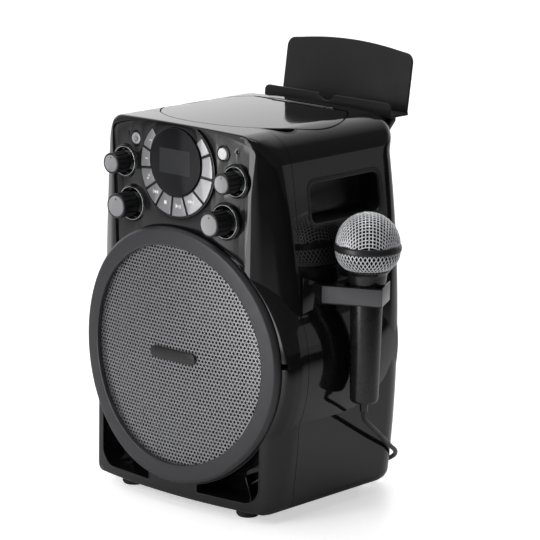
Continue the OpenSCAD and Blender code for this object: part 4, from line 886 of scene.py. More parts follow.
def window_line(d):
    """The open triangle beside the speaker's lower half, right side."""
    r = 112.0 - d
    x0, z0, x1 = 28.0 - d, 16.0 - d, 91.5 + d
    za = RING_Z - math.sqrt(r * r - x0 * x0)
    zb = RING_Z - math.sqrt(r * r - x1 * x1)
    a0, a1 = math.degrees(math.atan2(za - RING_Z, x0)), math.degrees(math.atan2(zb - RING_Z, x1))
    line = [(x0, z0, 1.5), (x1, z0, 16.0), (x1, zb, 1.5)]
    arc = circle(0, RING_Z, r, 24, a1, a0)
    return rounded(line + [(x, z, 0.0) for x, z in arc[1:-1]] + [(x0, za, 1.5)], 0.0, 8)


def flip(part):
    return [(-x, y, z) for x, y, z in part[0]], part[1]


# ---------------------------------------------------------------- housings
FADE_Y = 173.0


def shroud_part(side, y_from, y_to):
    """The barrel that stands out of the body's side round the speaker, between two depths."""
    prof_y = np.array([FRONT_Y, 9, 13, 18, 26, 34, 42.5, 80.0])
    prof_r = np.array([111.0, 111.4, 112.2, 114.7, 118.5, 119.9, 120.0, 120.0])
    fine = np.linspace(FRONT_Y, FADE_Y, 300)
    smooth = np.interp(fine, prof_y, prof_r) - 8.7 * (np.clip(fine - 80, 0, 200) / 85) ** 2.6
    for _ in range(12):
        smooth[1:-1] = (smooth[:-2] + smooth[1:-1] * 2 + smooth[2:]) / 4
    radius = lambda y: float(np.interp(y, fine, smooth))
    rings = []
    for a in np.radians(np.linspace(-33, 62, 60)):
        ca, sa = math.cos(a), math.sin(a)
        start = FRONT_Y
        for _ in range(12):
            start = FRONT_Y + float(bow(min(radius(start) * ca, 200)))
        lip = FRONT_Y + float(bow(OPENING_R * ca))
        outer = []
        y0 = max(start, y_from)
        if y_from <= start:
            outer += [(OPENING_R, lip), (radius(start) - 1.6, start), (radius(start) - 0.5, start + 0.4)]
            outer += [(radius(start + 1.2), start + 1.4)]
            y0 = start + 3
        ys = np.linspace(y0, y_to, 22 if y_to < 50 else 60)
        outer += [(radius(y), y) for y in ys]
        inner = [(r - WALL, max(y, y_from if y_from > start else lip + WALL)) for r, y in outer[::-1]]
        if y_from <= start:
            r_in, y_in = radius(start) - WALL, start + WALL
            inner = [(radius(y) - WALL, y) for y in ys[::-1]]
            inner += [(r_in - 0.8, y_in + 0.6), (r_in - 1.2, y_in + 0.2), (r_in - 2.0, y_in), (OPENING_R, lip + WALL)]
        rings.append([(side * r * ca, y, RING_Z + r * sa) for r, y in outer + inner])
    return loft(rings)


def window_pocket(side):
    """The cup behind the open triangle: inner skin and floor, then outer skin and floor."""
    line = window_line(0.05)
    wide = inset(line, -1.4)
    rings = [(line, 9.0), (line, 37.2), (inset(line, 0.8), 38.0), (wide, 9.0), (wide, 39.6)]
    n = len(line)
    # the front of the pocket follows the bowed front
    pts = [(x, y + float(bow(x)) if y < 10 else y, z) for flat, y in rings for x, z in flat]
    faces = strip(n, 0, 1) + strip(n, 1, 2) + [tuple(range(2 * n, 3 * n))]
    faces += strip(n, 0, 3) + strip(n, 3, 4) + [tuple(range(4 * n, 5 * n))]
    return (pts, faces) if side > 0 else flip((pts, faces))


def bar(x, z, w, h, turn, y0, y1):
    a = math.radians(turn)
    c, s = math.cos(a), math.sin(a)
    line = [(x + u * c - v * s, z + u * s + v * c) for u, v in ((0, 0), (w, 0), (w, h), (0, h))]
    return slab(line, y0, y1, 0.3, steps=2)


def notch_centre():
    a = math.radians(-33.3)
    return 74 * math.cos(a), LID_Y + 74 * math.sin(a)


def make_housings():
    shell = cut(to_mesh("shell", [body_shell()]), [body_shell(WALL)])
    front_cut = [
        prism(panel_line(0.0), -10, 24),
        prism(circle(0, RING_Z, OPENING_R, 160), -10, 26),
        prism(window_line(0.0), -10, 26),
        flip(prism(window_line(0.0), -10, 26)),
    ]
    lid_hole = lid_circle(80.9, 164.0)
    lid_cut = loft([[(x, y, 300.0) for x, y in lid_hole], [(x, y, 345.0) for x, y in lid_hole]])
    keep_front = box_cut((-160, -30, -5), (160, SEAM_Y - SEAM_GAP, 345))
    keep_rear = box_cut((-160, SEAM_Y + SEAM_GAP, -5), (160, 230, 345))
    front = cut(cut(shell.copy(), [keep_front], "INTERSECT"), front_cut + [lid_cut])
    cx, cy = notch_centre()
    notch_cut = lathe([(0, 322.0), (15.0, 322.0), (15.0, 345.0), (0, 345.0)], (cx, cy), "z", 64)
    knuckles = box_cut((-38.4, 154, 307), (38.4, 166.4, 345))
    pocket = round_rect(58, 248, 155, 290, 9)
    grips = [loft([[(s * x, a, b) for a, b in pocket] for x in (60, 130)]) for s in (1, -1)]
    jack_cut = prism(round_rect(-44, 56, 44, 96, 4), 175, 200)
    rear = cut(cut(shell.copy(), [keep_rear], "INTERSECT"), [lid_cut, knuckles, notch_cut] + grips + [jack_cut])
    # finger notch: a cup under the cut, trimmed by the body's own surface and the lid's opening
    cup = to_mesh("cup", [lathe([(0, 319.6), (17.4, 319.6), (17.4, 345), (0, 345)], (cx, cy), "z", 64)])
    hollow = lathe([(0, 322.0), (14.2, 322.0), (15.0, 322.8), (15.0, 346), (0, 346)], (cx, cy), "z", 64)
    cup = cut(cut(cup, [hollow, lid_cut]), [body_shell()], "INTERSECT")
    front_bits = [window_pocket(1), window_pocket(-1)]
    for s in (1, -1):
        ribs = [bar(69.5, 15, 1.6, 20, 20, 28, 38.5), bar(69.5, 28, 1.6, 25, -55, 28, 38.5)]
        front_bits += ribs if s > 0 else [flip(r) for r in ribs]
    # the lip tube behind the ring follows the bow
    lip = [(LIP_R, 6.2), (107.4, 6.2), (107.4, 24.6), (84.4, 24.6), (84.4, 22.2), (LIP_R, 22.2)]
    pts, faces = lathe(lip, (0, RING_Z), "y", 128, around=True)
    front_bits.append(([(x, y + (float(bow(x)) if y < 10 else 0), z) for x, y, z in pts], faces))
    shrouds = [cut(to_mesh("shroud", [shroud_part(s, 0, SEAM_Y - SEAM_GAP)]), [slot_cut(s)]) for s in (1, -1)]
    islands = joined("front_islands", [to_mesh("front_islands", front_bits)] + shrouds)
    front = joined("front_shell", [front, islands])
    add("front_shell", front, "gloss_black", "body", ("front_housing",), 32, on_skin_normals)
    rims = []
    for s in (1, -1):
        path = np.array([(s * x, FRONT_Y + 0.12 + float(bow(x)), z) for x, z in window_line(0.25)])
        pts, faces = tube(path[:-1], 0.6, 8, caps=False)
        rims.append((pts, faces + strip(8, len(pts) // 8 - 1, 0)))
    add("window_rims", to_mesh("window_rims", rims), "gloss_black", "body", (), 60)
    rear_bits = [shroud_part(s, SEAM_Y + SEAM_GAP, FADE_Y) for s in (1, -1)]
    for s in (1, -1):
        lo, hi = (30.4, 38.0) if s > 0 else (-38.0, -30.4)
        knuckle = rounded([(1.2, lo), (2.4, lo), (2.4, hi), (1.2, hi)], 0.3, 3)
        rear_bits.append(lathe(knuckle, HINGE, "x", 32, True))
        rear_bits.append(box((lo, 163.6, 326.2), (hi, 168.6, 328.9), 0.3))
    for x, y in ((4, 108), (84, 108), (4, 160), (84, 160)):
        rear_bits.append(lathe([(0, 9.6), (3.5, 9.6), (3.5, 17.6), (3.1, 18.0), (0, 18.0)], (x, y), "z", 24))
    rear = joined("rear_shell", [rear, cup, to_mesh("rear_islands", rear_bits)])
    add("rear_shell", rear, "gloss_black", "body", ("rear_housing",), 32, on_skin_normals)


def lid_circle(r, y_end):
    """The lid's circle, cut off straight at the rear."""
    half = math.degrees(math.acos(min(1.0, (y_end - LID_Y) / r)))
    return circle(0, LID_Y, r, 140, 90 + half, 450 - half)


def box_cut(a, b):
    """A plain block between two corners, for cutting."""
    return prism([(a[0], a[2]), (b[0], a[2]), (b[0], b[2]), (a[0], b[2])], a[1], b[1])


def slot_cut(side):
    line = round_rect(19 - 3.5, RING_Z + 8 - 2.6, 19 + 3.5, RING_Z + 8 + 2.6, 2.5)
    return loft([[(side * x, a, b) for a, b in line] for x in (104, 130)])


make_housings()


# ---------------------------------------------------------------- speaker
HOLE_PITCH = 3.6
HOLE_R = 1.32
SHEET = 1.1
GRILLE_R = 102.6


def make_speaker():
    prof = [(95.0, 5.4), (95.0, 0.9, 0.8), (96.6, 0.0, 1.6), (108.4, 0.0, 3.2), (111.0, 2.4, 2.2), (111.0, 5.4)]
    prof = rounded(prof, 0.6, 5)
    ring = to_mesh("trim_ring", [lathe(prof, (0, RING_Z), "y", 180, around=True)])
    for v in ring.vertices:
        v.co.y += float(bow(v.co.x * 1000 + ORIGIN[0])) * 0.001
    add("trim_ring", ring, "ring", "body", ("speaker_ring",), 40)
    pts = []
    n = int(110 / (HOLE_PITCH * 0.866)) + 1
    for j in range(-n, n + 1):
        for i in range(-n, n + 1):
            x = (i + (0.5 if j % 2 else 0)) * HOLE_PITCH
            z = j * HOLE_PITCH * math.sqrt(3) / 2
            if math.hypot(x, z) < GRILLE_R:
                pts.append((x * 0.001, z * 0.001, 0.0))
    mesh = grow("grille_sheet", PERFORATED, pts, {
        "Tile Radius": HOLE_PITCH / math.sqrt(3) * 0.001, "Hole Radius": HOLE_R * 0.001,
        "Thickness": SHEET * 0.001, "Finish": LOOKS["grille"]})
    # tiles stand point up; lay the sheet upright behind the ring and along the bow
    for v in mesh.vertices:
        x, z, t = v.co * 1000
        v.co = Vector((x - ORIGIN[0], FRONT_Y + 0.05 + SHEET + float(bow(x)) - t - ORIGIN[1], z + RING_Z)) * 0.001
    bm = bmesh.new()
    bm.from_mesh(mesh)
    bmesh.ops.recalc_face_normals(bm, faces=bm.faces)
    bm.to_mesh(mesh)
    bm.free()
    add("grille_sheet", mesh, "grille", "body", ("speaker_grille",), 30)
    line = rounded([(-26, RING_Z - 5), (26, RING_Z - 5), (26, RING_Z + 5), (-26, RING_Z + 5)], 4.9, 8)
    bar_mesh = bowed(to_mesh("badge_bar", [slab(line, 3.1, 5.45, 0.7, steps=3)]), 3.0)
    add("badge_bar", bar_mesh, "badge", "body", ("grille_badge",), 35)
    # driver: paper cone with a dust cap, rubber roll, pressed basket, magnet
    cad_copy("driver_cone_paper", "driver_cone", "paper", "cone", 0.0, 45)
    cad_copy("driver_roll", "driver_surround", "rubber", "body", 0.0)
    cad_copy("driver_frame", "driver_basket", "dark_metal", "body", 0.3)
    cad_copy("driver_magnet_ring", "driver_magnet", "metal", "body", 0.8)


make_speaker()


# ---------------------------------------------------------------- control panel, dial and keys
KNOBS = {
    "upper_left_knob": ("knob_upper_left", -63.3, 290.0, 9.0, 17.0),
    "upper_right_knob": ("knob_upper_right", 63.3, 290.0, 9.0, 17.0),
    "lower_left_knob": ("knob_lower_left", -53.5, 255.0, 10.6, 19.4),
    "lower_right_knob": ("knob_lower_right", 53.5, 255.0, 10.6, 19.4),
}
PANEL_Y = 7.5
DISH = 5.4  # how far the dish round a knob reaches past the knob
LAMPS = ((-59, 315.3, 1.25), (64, 314.4, 1.65))


def base_y(x):
    return PANEL_Y + float(bow(x)) - 2.2


def make_panel():
    flat = to_mesh("panel_plate", [prism(panel_line(-0.3), PANEL_Y, PANEL_Y + 2.5)])
    tools = [prism(dial_line(42.8, 3.0))]
    tools += [prism(circle(s * ROUND_KEY[0], ROUND_KEY[1], 5.9, 40)) for s in (-1, 1)]
    tools += [prism(circle(x, z, r + 0.05, 24)) for x, z, r in LAMPS]
    tools += [prism(circle(x, z, r + 2.5, 60)) for _, x, z, r, _ in KNOBS.values()]
    mesh = bowed(bevelled(cut(flat, tools), 0.35, 40), 3.0)
    add("panel_plate", mesh, "panel", "body", ("control_panel",), 35)
    parts, rings = [], []
    for _, x, z, r, _ in KNOBS.values():
        y = base_y(x)
        dish = [(r + 0.9, y + 9.0), (r + 0.9, y + 2.6, 0.4), (r + 2.3, y + 1.6, 0.4), (r + 2.9, y + 0.1, 0.5),
                (r + 4.3, y + 0.0, 0.4), (r + DISH, y + 1.0, 0.9), (r + DISH, y + 6.0)]
        parts.append(lathe(rounded(dish, 0.3, 3), (x, z), "y", 96, around=True))
        bright = [(r + 3.05, y + 0.5), (r + 3.05, y - 0.8), (r + 3.75, y - 0.8), (r + 3.75, y + 0.5)]
        rings.append(lathe(rounded(bright, 0.3, 4), (x, z), "y", 96, around=True))
    for x in (-ROUND_KEY[0], ROUND_KEY[0]):
        y = PANEL_Y + float(bow(x))
        prof = [(5.3, y + 4.0), (5.3, y - 0.1), (5.9, y - 0.7), (6.9, y - 0.5), (7.4, y + 0.6), (7.4, y + 4.0)]
        parts.append(lathe(rounded(prof, 0.35, 3), (x, ROUND_KEY[1]), "y", 64, around=True))
    add("knob_dishes", to_mesh("knob_dishes", parts), "dial_black", "body", (), 35)
    add("bezel_rings", to_mesh("bezel_rings", rings), "chrome", "body", ("knob_bezels",), 50)
    leds = []
    for x, z, r in LAMPS:
        y = PANEL_Y + float(bow(x))
        prof = rounded([(0, y + 0.1), (r - 0.1, y + 0.5), (r, y + 3), (0, y + 3)], 0.2, 2, False)
        leds.append(lathe(prof, (x, z), "y", 24))
    add("status_leds", to_mesh("status_leds", leds), "led", "body", (), 40)


def make_knobs():
    for body, (node, x, z, r, length) in KNOBS.items():
        y = base_y(x)
        face = y - length
        prof = [(0.0, y - 0.6), (r - 1.2, y - 0.6), (r - 0.1, y - 1.0), (r, y - 1.8), (r, y - 4), (r, y - 8),
                (r, y - 12), (r, face + 2.2), (r, face + 1.2), (r - 0.25, face + 0.6), (r - 0.7, face + 0.2),
                (r - 1.2, face + 0.1), (r - 1.5, face + 0.35), (r - 1.55, face + 0.9), (0.0, face + 0.9)]
        flute = lambda a, i: 1.0 - (0.085 * max(0.0, math.cos(a * 14)) ** 2.2 if 3 <= i <= 7 else 0.0)
        side = to_mesh("k", [lathe(prof, (x, z), "y", 168, shape=flute)])
        add(node + "_grip", side, "knob_rubber", body, (node,), 40)
        cap_prof = [(0, face + 2.0), (r - 1.7, face + 2.0), (r - 1.7, face + 0.35), (r - 1.95, face + 0.12),
                    (r * 0.62, face + 0.3), (r * 0.3, face + 0.42), (0, face + 0.46)]
        cap = to_mesh("c", [lathe(cap_prof, (x, z), "y", 72)])
        add(node + "_face", cap, "knob_cap", body, (), 35)
        dot = [(0, face + 1.2), (0.75, face + 1.2), (0.8, face + 0.22), (0.55, face + 0.18), (0, face + 0.18)]
        dot = to_mesh("d", [lathe(dot, (x, z + r * 0.55), "y", 24)])
        add(node + "_mark", dot, "icon_dark", body, (), 35)


def make_dial():
    dial_y = 5.6
    plate = to_mesh("dial_plate", [prism(dial_line(42.5, -0.3), dial_y, dial_y + 4.4)])
    tools = [prism(key_line(k, 0.15)) for k in range(10)]
    tools.append(prism(circle(0, DISPLAY_Z, 28.9, 120), 0, dial_y + 1.0))
    mesh = bowed(bevelled(cut(plate, tools), 0.22, 40), 3.0)
    add("dial_plate", mesh, "dial_black", "body", ("dial_frame",), 35)
    for k in range(10):
        line = soft_corners(key_line(k, 0.0), 0.9)
        cap = slab(line, 4.7, 9.4, 0.55, steps=3)
        low = prism(key_line(k, 0.45), 8.2, 9.7)
        name = f"key_{k + 1}"
        tone = "key_silver" if k < 4 else "key_grey"
        mesh = bowed(joined(name + "_cap", [to_mesh("a", [cap]), to_mesh("b", [low])]), 4.0)
        add(name + "_cap", mesh, tone, f"dial_key_{k + 1}", (name,), 35)
    glass = bowed(to_mesh("display_glass", [slab(circle(0, DISPLAY_Z, 28.75, 120), 4.0, 6.55, 0.5)]), 3.0)
    add("display_glass", glass, "glass", "body", ("display_window",), 35)
    lit = round_rect(-17.5, DISPLAY_Z - 10.5, 17.5, DISPLAY_Z + 10.5, 1.2)
    panel = bowed(to_mesh("display_area", [slab(lit, 3.93, 4.6, 0.05, steps=1)]), 3.0)
    add("display_area", panel, "display", "body", (), 35)


def key_middle(k):
    a = math.radians((DIVIDERS[k] + DIVIDERS[k + 1]) / 2)
    p = np.array(key_line(k))
    d = np.array([math.cos(a), math.sin(a)])
    along = (p - np.array([0, DIAL_Z])) @ d
    return d * (along.max() + along.min()) / 2 * 0.985 + np.array([0, DIAL_Z])


def print_on(name, lines, look, body, y_at):
    """Flat print: each closed line as a thin raised film on a bowed face at y_at."""
    parts = [to_mesh("p", [slab(line, y_at - 0.07, y_at + 0.2, 0.03, steps=1)]) for line in lines]
    mesh = bowed(joined(name, parts), 3.0)
    add(name, mesh, look, body, (), 35)


def stroke(points, w):
    """A line of even width along 2D points, as one closed outline for each stretch."""
    p = np.array(points, float)
    out = []
    for a, b in zip(p[:-1], p[1:]):
        d = (b - a) / np.linalg.norm(b - a)
        n = np.array([-d[1], d[0]]) * w / 2
        out.append([tuple(a + n), tuple(a - n), tuple(b - n), tuple(b + n)])
    return out


def icons():
    """Plain transport signs: each draws its closed outlines round a place."""
    tri = lambda x, z, s: [(x - 0.5 * s, z - 0.62 * s), (x + 0.6 * s, z), (x - 0.5 * s, z + 0.62 * s)]
    back = lambda x, z, s: [(x + 0.5 * s, z - 0.62 * s), (x - 0.6 * s, z), (x + 0.5 * s, z + 0.62 * s)]
    rect = lambda x, z, w, h: [(x + u * w / 2, z + v * h / 2) for u, v in ((-1, -1), (1, -1), (1, 1), (-1, 1))]
    s = 3.0

    def note(x, z):
        turn = np.linspace(0, 2 * math.pi, 16, endpoint=False)
        head = [(x - 0.9 + 0.95 * math.cos(t), z - 1.6 + 0.75 * math.sin(t)) for t in turn]
        flag = [(x - 0.15, z + 2.25), (x + 1.7, z + 1.3), (x + 1.7, z + 0.5), (x - 0.15, z + 1.4)]
        return [head, rect(x, z + 0.3, 0.36, 3.9), flag]

    return {
        "previous": lambda x, z: [rect(x - 2.3, z, 0.6, 3.4), back(x - 0.2, z, s * 0.9), back(x + 2.3, z, s * 0.9)],
        "next": lambda x, z: [tri(x - 2.3, z, s * 0.9), tri(x + 0.2, z, s * 0.9), rect(x + 2.3, z, 0.6, 3.4)],
        "play": lambda x, z: [tri(x - 1.4, z, s), rect(x + 1.2, z, 0.7, 3.4), rect(x + 2.6, z, 0.7, 3.4)],
        "stop": lambda x, z: [rect(x, z, 3.0, 3.0)],
        "note": note,
        "bar": lambda x, z: [rect(x, z, 3.0, 0.8)],
    }


def make_buttons():
    sets = icons()
    for k, kind in enumerate(("next", "play", "stop", "previous", "note", "bar", "bar"), 3):
        x, z = key_middle(k)
        print_on(f"key_{k + 1}_print", sets[kind](x, z), "icon", f"dial_key_{k + 1}", 4.7)
    x, z = ROUND_KEY
    buttons = (("power_button", "power_key", -x, "key_silver"), ("voice_button", "voice_key", x, "white"))
    for node, body, x, look in buttons:
        y = PANEL_Y + float(bow(x)) - 1.4
        prof = [(0, 14.1), (6.2, 14.1), (6.2, 13.3), (5.0, 13.3), (5.0, y + 0.8)]
        prof += [(5.0 - 0.8 * (1 - math.cos(t)), y + 0.8 - 0.8 * math.sin(t)) for t in np.linspace(0, math.pi / 2, 5)]
        prof += [(2.5, y + 0.12), (0, y + 0.16)]
        add(node + "_cap", to_mesh("b", [lathe(prof, (x, z), "y", 64)]), look, body, (node,), 40)
    x, y = -ROUND_KEY[0], PANEL_Y - 1.4
    arc = [(x + 2.0 * math.cos(t), z + 2.0 * math.sin(t)) for t in np.radians(np.linspace(125, 415, 19))]
    lines = stroke(arc, 0.5) + stroke([(x, z + 0.2), (x, z + 2.7)], 0.5)
    print_on("power_print", lines, "icon_dark", "power_key", y)


make_panel()
make_knobs()
make_dial()
make_buttons()


# ---------------------------------------------------------------- disc lid and drive
def make_lid():
    outline = np.array(soft_corners(lid_circle(LID_R, 162.0), 3.0))
    if np.sum(outline[:, 0] * np.roll(outline[:, 1], -1) - np.roll(outline[:, 0], -1) * outline[:, 1]) < 0:
        outline = outline[::-1]
    middle = np.array([0.0, LID_Y])
    deep = 2.4
    # from the underside's middle out to the rounded rim and back in over the top
    rings = [(middle + (outline - middle) * s, -deep) for s in (0.02, 0.25, 0.5, 0.75, 0.9, 0.97)]
    rings += [(inset(outline, d), h) for d, h in (
        (0.6, -deep), (0.15, -deep + 0.15), (0.0, -deep + 0.6), (0.0, -0.9), (0.12, -0.42), (0.42, -0.12), (0.9, 0.0),
        (1.4, 0.0))]
    rings += [(middle + (outline - middle) * s, 0.0) for s in (0.97, 0.9, 0.8, 0.65, 0.5, 0.35, 0.2, 0.02)]
    out = []
    for flat, h in rings:
        z = top_z(flat[:, 0], flat[:, 1]) + h
        out.append([(a, b, c) for (a, b), c in zip(flat, z)])
    knuckle = rounded([(1.25, -30), (2.4, -30), (2.4, 30), (1.25, 30)], 0.3, 3)
    web = box((-29.6, 159.4, 328.7), (29.6, 163.2, 330.7), 0.3)
    mesh = to_mesh("round_lid", [loft(out), lathe(knuckle, HINGE, "x", 40, True), web])
    add("round_lid", mesh, "gloss_black", "lid", ("disc_lid",), 32, on_lid_normals)


def on_lid_normals(mesh):
    """True normals on the lid's upper face."""
    co = np.empty(len(mesh.vertices) * 3)
    mesh.vertices.foreach_get("co", co)
    p = co.reshape(-1, 3) * 1000 + ORIGIN
    inside = (np.hypot(p[:, 0], p[:, 1] - LID_Y) < LID_R - 0.8) & (p[:, 1] < 161.2)
    near = (np.abs(skin(p)) < 0.03) & inside
    g = slope(p)
    g /= np.linalg.norm(g, axis=1, keepdims=True)
    loops = np.zeros((len(mesh.loops), 3))
    for f in mesh.polygons:
        if f.normal.z < 0.5:
            continue
        for li in f.loop_indices:
            v = mesh.loops[li].vertex_index
            if near[v]:
                loops[li] = g[v]
    mesh.normals_split_custom_set([tuple(v) for v in loops])


def make_drive():
    cad_copy("hinge_pin", "lid_hinge_pin", "metal", "body", 0.15)
    cad_copy("deck_tray", "disc_deck", "gloss_inner", "body", 0.4)
    # the hub: spindle, turntable, and a boss with three balls that hold a disc
    prof = [(0, 296.0), (1.5, 296.0), (1.5, 311.5), (13.4, 311.6), (14.0, 312.0), (14.0, 312.9), (13.5, 313.2),
            (8.4, 313.2), (7.4, 313.25), (7.4, 315.4), (7.0, 315.8), (5.6, 316.4), (2.6, 316.4), (2.2, 316.1),
            (0, 316.0)]
    balls = []
    for a in np.radians((30, 150, 270)):
        c = (7.0 * math.cos(a), HUB_Y + 7.0 * math.sin(a))
        balls.append(lathe([(0, 313.6), (0.5, 313.7), (0.75, 314.2), (0.5, 314.8), (0, 314.9)], c, "z", 16))
    mesh = to_mesh("hub_turntable", [lathe(prof, (0, HUB_Y), "z", 72)] + balls)
    add("hub_turntable", mesh, "hub", "disc_hub", ("spindle_hub",), 30)
    cad_copy("hub_motor", "spindle_motor", "metal", "body", 0.4)
    cad_copy("sled_block", "pickup_sled", "satin_black", "pickup", 0.3)
    lens = lathe([(0, 310.3), (2.6, 310.3), (2.6, 310.7), (1.9, 311.1), (0, 311.35)], (25, HUB_Y), "z", 32)
    add("pickup_lens", to_mesh("pickup_lens", [lens]), "lens", "pickup", (), 40)
    cad_copy("sled_rails", "pickup_rails", "metal", "body", 0.15)


make_lid()
make_drive()


# ---------------------------------------------------------------- handles, sockets, feet, screws
def handle_pocket(side):
    """A grip cup with its rim on the skin: inner skin from the rim to the floor, then the outer skin back."""
    back = side_x(269.0) - 25.0
    rings = []

    def ring(d, e=None, x=None):
        """The opening's outline, d inwards, either e outside the skin or at x."""
        flat = round_rect(58 + d, 248 + d, 155 - d, 290 - d, max(9 - d * 0.55, 2.0), 8)
        rings.append([(side * (side_x(b) + e if x is None else x), a, b) for a, b in flat])

    for d, e in ((0.02, -2.4), (0.02, -0.35), (0.25, 0.0), (0.6, 0.12), (3.1, 0.12), (3.7, -0.1), (4.2, -0.6),
                 (4.45, -1.3), (4.5, -2.2)):
        ring(d, e)
    for d, x in ((4.5, 9), (4.9, 3), (6.0, 0.9), (8.0, 0)):
        ring(d, x=back + x)
    inner = len(rings)
    for d, x in ((8.0, -1.8), (4.0, -1.2), (2.6, 3)):
        ring(d, x=back + x)
    ring(2.6, e=-3.6)
    ring(0.02, e=-3.6)
    n = len(rings[0])
    faces = [f for i in range(inner - 1) for f in strip(n, i, i + 1)] + [tuple(range((inner - 1) * n, inner * n))]
    faces += [f for i in range(inner, len(rings)) for f in strip(n, i, (i + 1) % len(rings))]
    faces.append(tuple(range(inner * n, (inner + 1) * n)))
    return [p for r in rings for p in r], faces


def make_fittings():
    for side, node in ((1, "right_handle_pocket"), (-1, "left_handle_pocket")):
        add(node + "_cup", to_mesh(node, [handle_pocket(side)]), "satin_black", "body", (node,), 35)
    cad_copy("socket_plate", "jack_panel", "satin_black", "body", 0.4)
    parts = []
    large = [(3.2, 166), (6.6, 166), (6.6, 186.0), (4.4, 186.4), (4.4, 187.3), (6.0, 187.5, 0.3), (6.0, 188.9, 0.5),
             (4.6, 189.2, 0.3), (4.4, 189.5, 0.3), (3.4, 189.5, 0.3), (3.2, 189.2)]
    small = [(1.8, 175), (4.2, 175), (4.2, 185.4), (2.95, 185.8), (2.95, 188.0, 0.3), (1.8, 188.0, 0.2)]
    for x in (-30, -10):
        parts.append(lathe(rounded(large, 0.1, 3), (x, JACK_Z), "y", 48, around=True))
        parts.append(lathe([(0, 162.2), (6.4, 162.2), (6.4, 166.4), (0, 166.4)], (x, JACK_Z), "y", 32))
    parts.append(lathe(rounded(small, 0.1, 3), (7, JACK_Z), "y", 40, around=True))
    parts.append(lathe([(0, 172), (4, 172), (4, 175.3), (0, 175.3)], (7, JACK_Z), "y", 24))
    add("jack_barrels", to_mesh("jack_barrels", parts), "metal", "body", ("rear_jacks",), 35)
    cad_copy("inlet_body", "mains_inlet", "socket_dark", "body", 0.25)
    feet = []
    foot = [(0, 0), (8.6, 0, 0.8), (9.6, 1.4, 0.8), (10.0, 2.4, 0.5), (10.0, 8.0), (0, 8.0)]
    for x in (-67.3, 67.3):
        for y in (28.3, 159.4):
            feet.append(lathe(rounded(foot, 0.3, 3, False), (x, y), "z", 56))
    add("feet_pads", to_mesh("feet_pads", feet), "foot", "body", ("feet",), 35)
    # pan-head screws with a cross recess, grown on their four places
    head = screw_pattern()
    places = row([(x, REAR_Y, z) for x in (-68, 68) for z in (40, 284)])
    mesh = grow("rear_screw_set", REPEAT, places, {"Piece": head, "Size": 1.0, "Finish": LOOKS["dark_metal"]},
                turns=[(0, a, 0) for a in (0.3, 1.1, 0.7, 0.1)])
    bpy.data.objects.remove(head)
    add("rear_screw_set", mesh, "dark_metal", "body", ("rear_screws",), 30)


def screw_pattern():
    """One screw with its head outwards along +Y, its seat at the origin."""
    prof = [(0, -9.0), (1.2, -9.0), (1.45, -8.2), (1.45, 0.0), (3.1, 0.0), (3.2, 0.35), (3.0, 1.0), (2.3, 1.45),
            (1.2, 1.6), (0, 1.6)]
    mesh = to_mesh("screw", [shift(lathe(prof, (0, 0), "y", 36), ORIGIN)])
    wings = [box_cut((-1.9, 0.8, -0.4), (1.9, 3.0, 0.4)), box_cut((-0.4, 0.8, -1.9), (0.4, 3.0, 1.9))]
    mesh = cut(mesh, [shift(w, ORIGIN) for w in wings])
    obj = bpy.data.objects.new("screw_pattern", mesh)
    scene.collection.objects.link(obj)
    return obj


def shift(part, by):
    return [(x + by[0], y + by[1], z + by[2]) for x, y, z in part[0]], part[1]


make_fittings()


# ---------------------------------------------------------------- tablet cradle
def make_cradle():
    parts = []
    lip = [(-72.6, 321.5, 0.8), (72.6, 321.5, 0.8), (72.6, 334.5, 5.0), (9.2, 334.5, 1.6)]
    arc = [(10 * math.cos(a), 338.5 + 10 * math.sin(a), 0.0) for a in np.radians(np.linspace(-23.6, -156.4, 15))]
    lip_line = rounded(lip + arc[1:-1] + [(-9.2, 334.5, 1.6), (-72.6, 334.5, 5.0)], 0.0, 5)
    parts.append(slab(lip_line, 198.0, 200.4, 0.55))
    shelf = [(-72.6, 198.3, 0.6), (72.6, 198.3, 0.6), (72.6, 225.8, 4.0), (-72.6, 225.8, 4.0)]
    parts.append(slab(rounded(shelf, 1.0, 5), 321.5, 323.9, 0.5, axis="z"))
    w = 72.0
    top = [(x, 51 + 7 * (1 - (x / 72.6) ** 2), 0.0) for x in np.linspace(55, -55, 31)]
    line = rounded([(-w, 0.3, 0.5), (w, 0.3, 0.5), (w, 52.0, 8.5)] + top + [(-w, 52.0, 8.5)], 0.0, 7)
    pts, faces = slab(line, 0.0, 2.4, 0.6)
    c, s = math.cos(math.radians(8)), math.sin(math.radians(8))
    pts = [(x, 198 + 23.0 + y * c + z * s, 322.7 + z * c - y * s) for x, y, z in pts]
    parts.append((pts, faces))
    fw = TONGUE_W
    back = mirror_line([(0.0, 222.0), (fw, 222.0), (fw, 286), (fw + 5, 297), (63.6, 306.5), (71.6, 318.5),
                        (71.6, 322.5), (0.0, 322.5)])
    rad = {286: 6.0, 297: 8.0, 306.5: 2.0, 318.5: 4.0}
    back = rounded([(x, z, rad.get(z, 0.6)) for x, z in back], 0.5, 5)
    parts.append(slab(back, 202.0, 208.0, 0.9))
    add("cradle_shelf", to_mesh("cradle_shelf", parts), "cradle", "body", ("tablet_cradle",), 35)
    cad_copy("cradle_socket_body", "cradle_socket", "satin_black", "body", 0.7)


lo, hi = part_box("cradle_socket")
TONGUE_W = (hi.x - lo.x) * 500 - 10  # half the socket's width, less its walls
make_cradle()


# ---------------------------------------------------------------- microphone and its holder
BAND = (230.5, 236.3)
BAND_R = 28.4
BALL_R = 27.6
DOME_Z = 235.3
COLLAR_Z = 215.4
NECK_R = 19.6
WIRE_R = 0.46
DOME_TURN = 41.6
HOLDER_TURN = 27


def bowl_r(t):
    return NECK_R + (BALL_R - NECK_R) * math.sin(math.pi / 2 * t)


def bowl_z(t):
    return COLLAR_Z + (BAND[0] - COLLAR_Z) * t**1.3


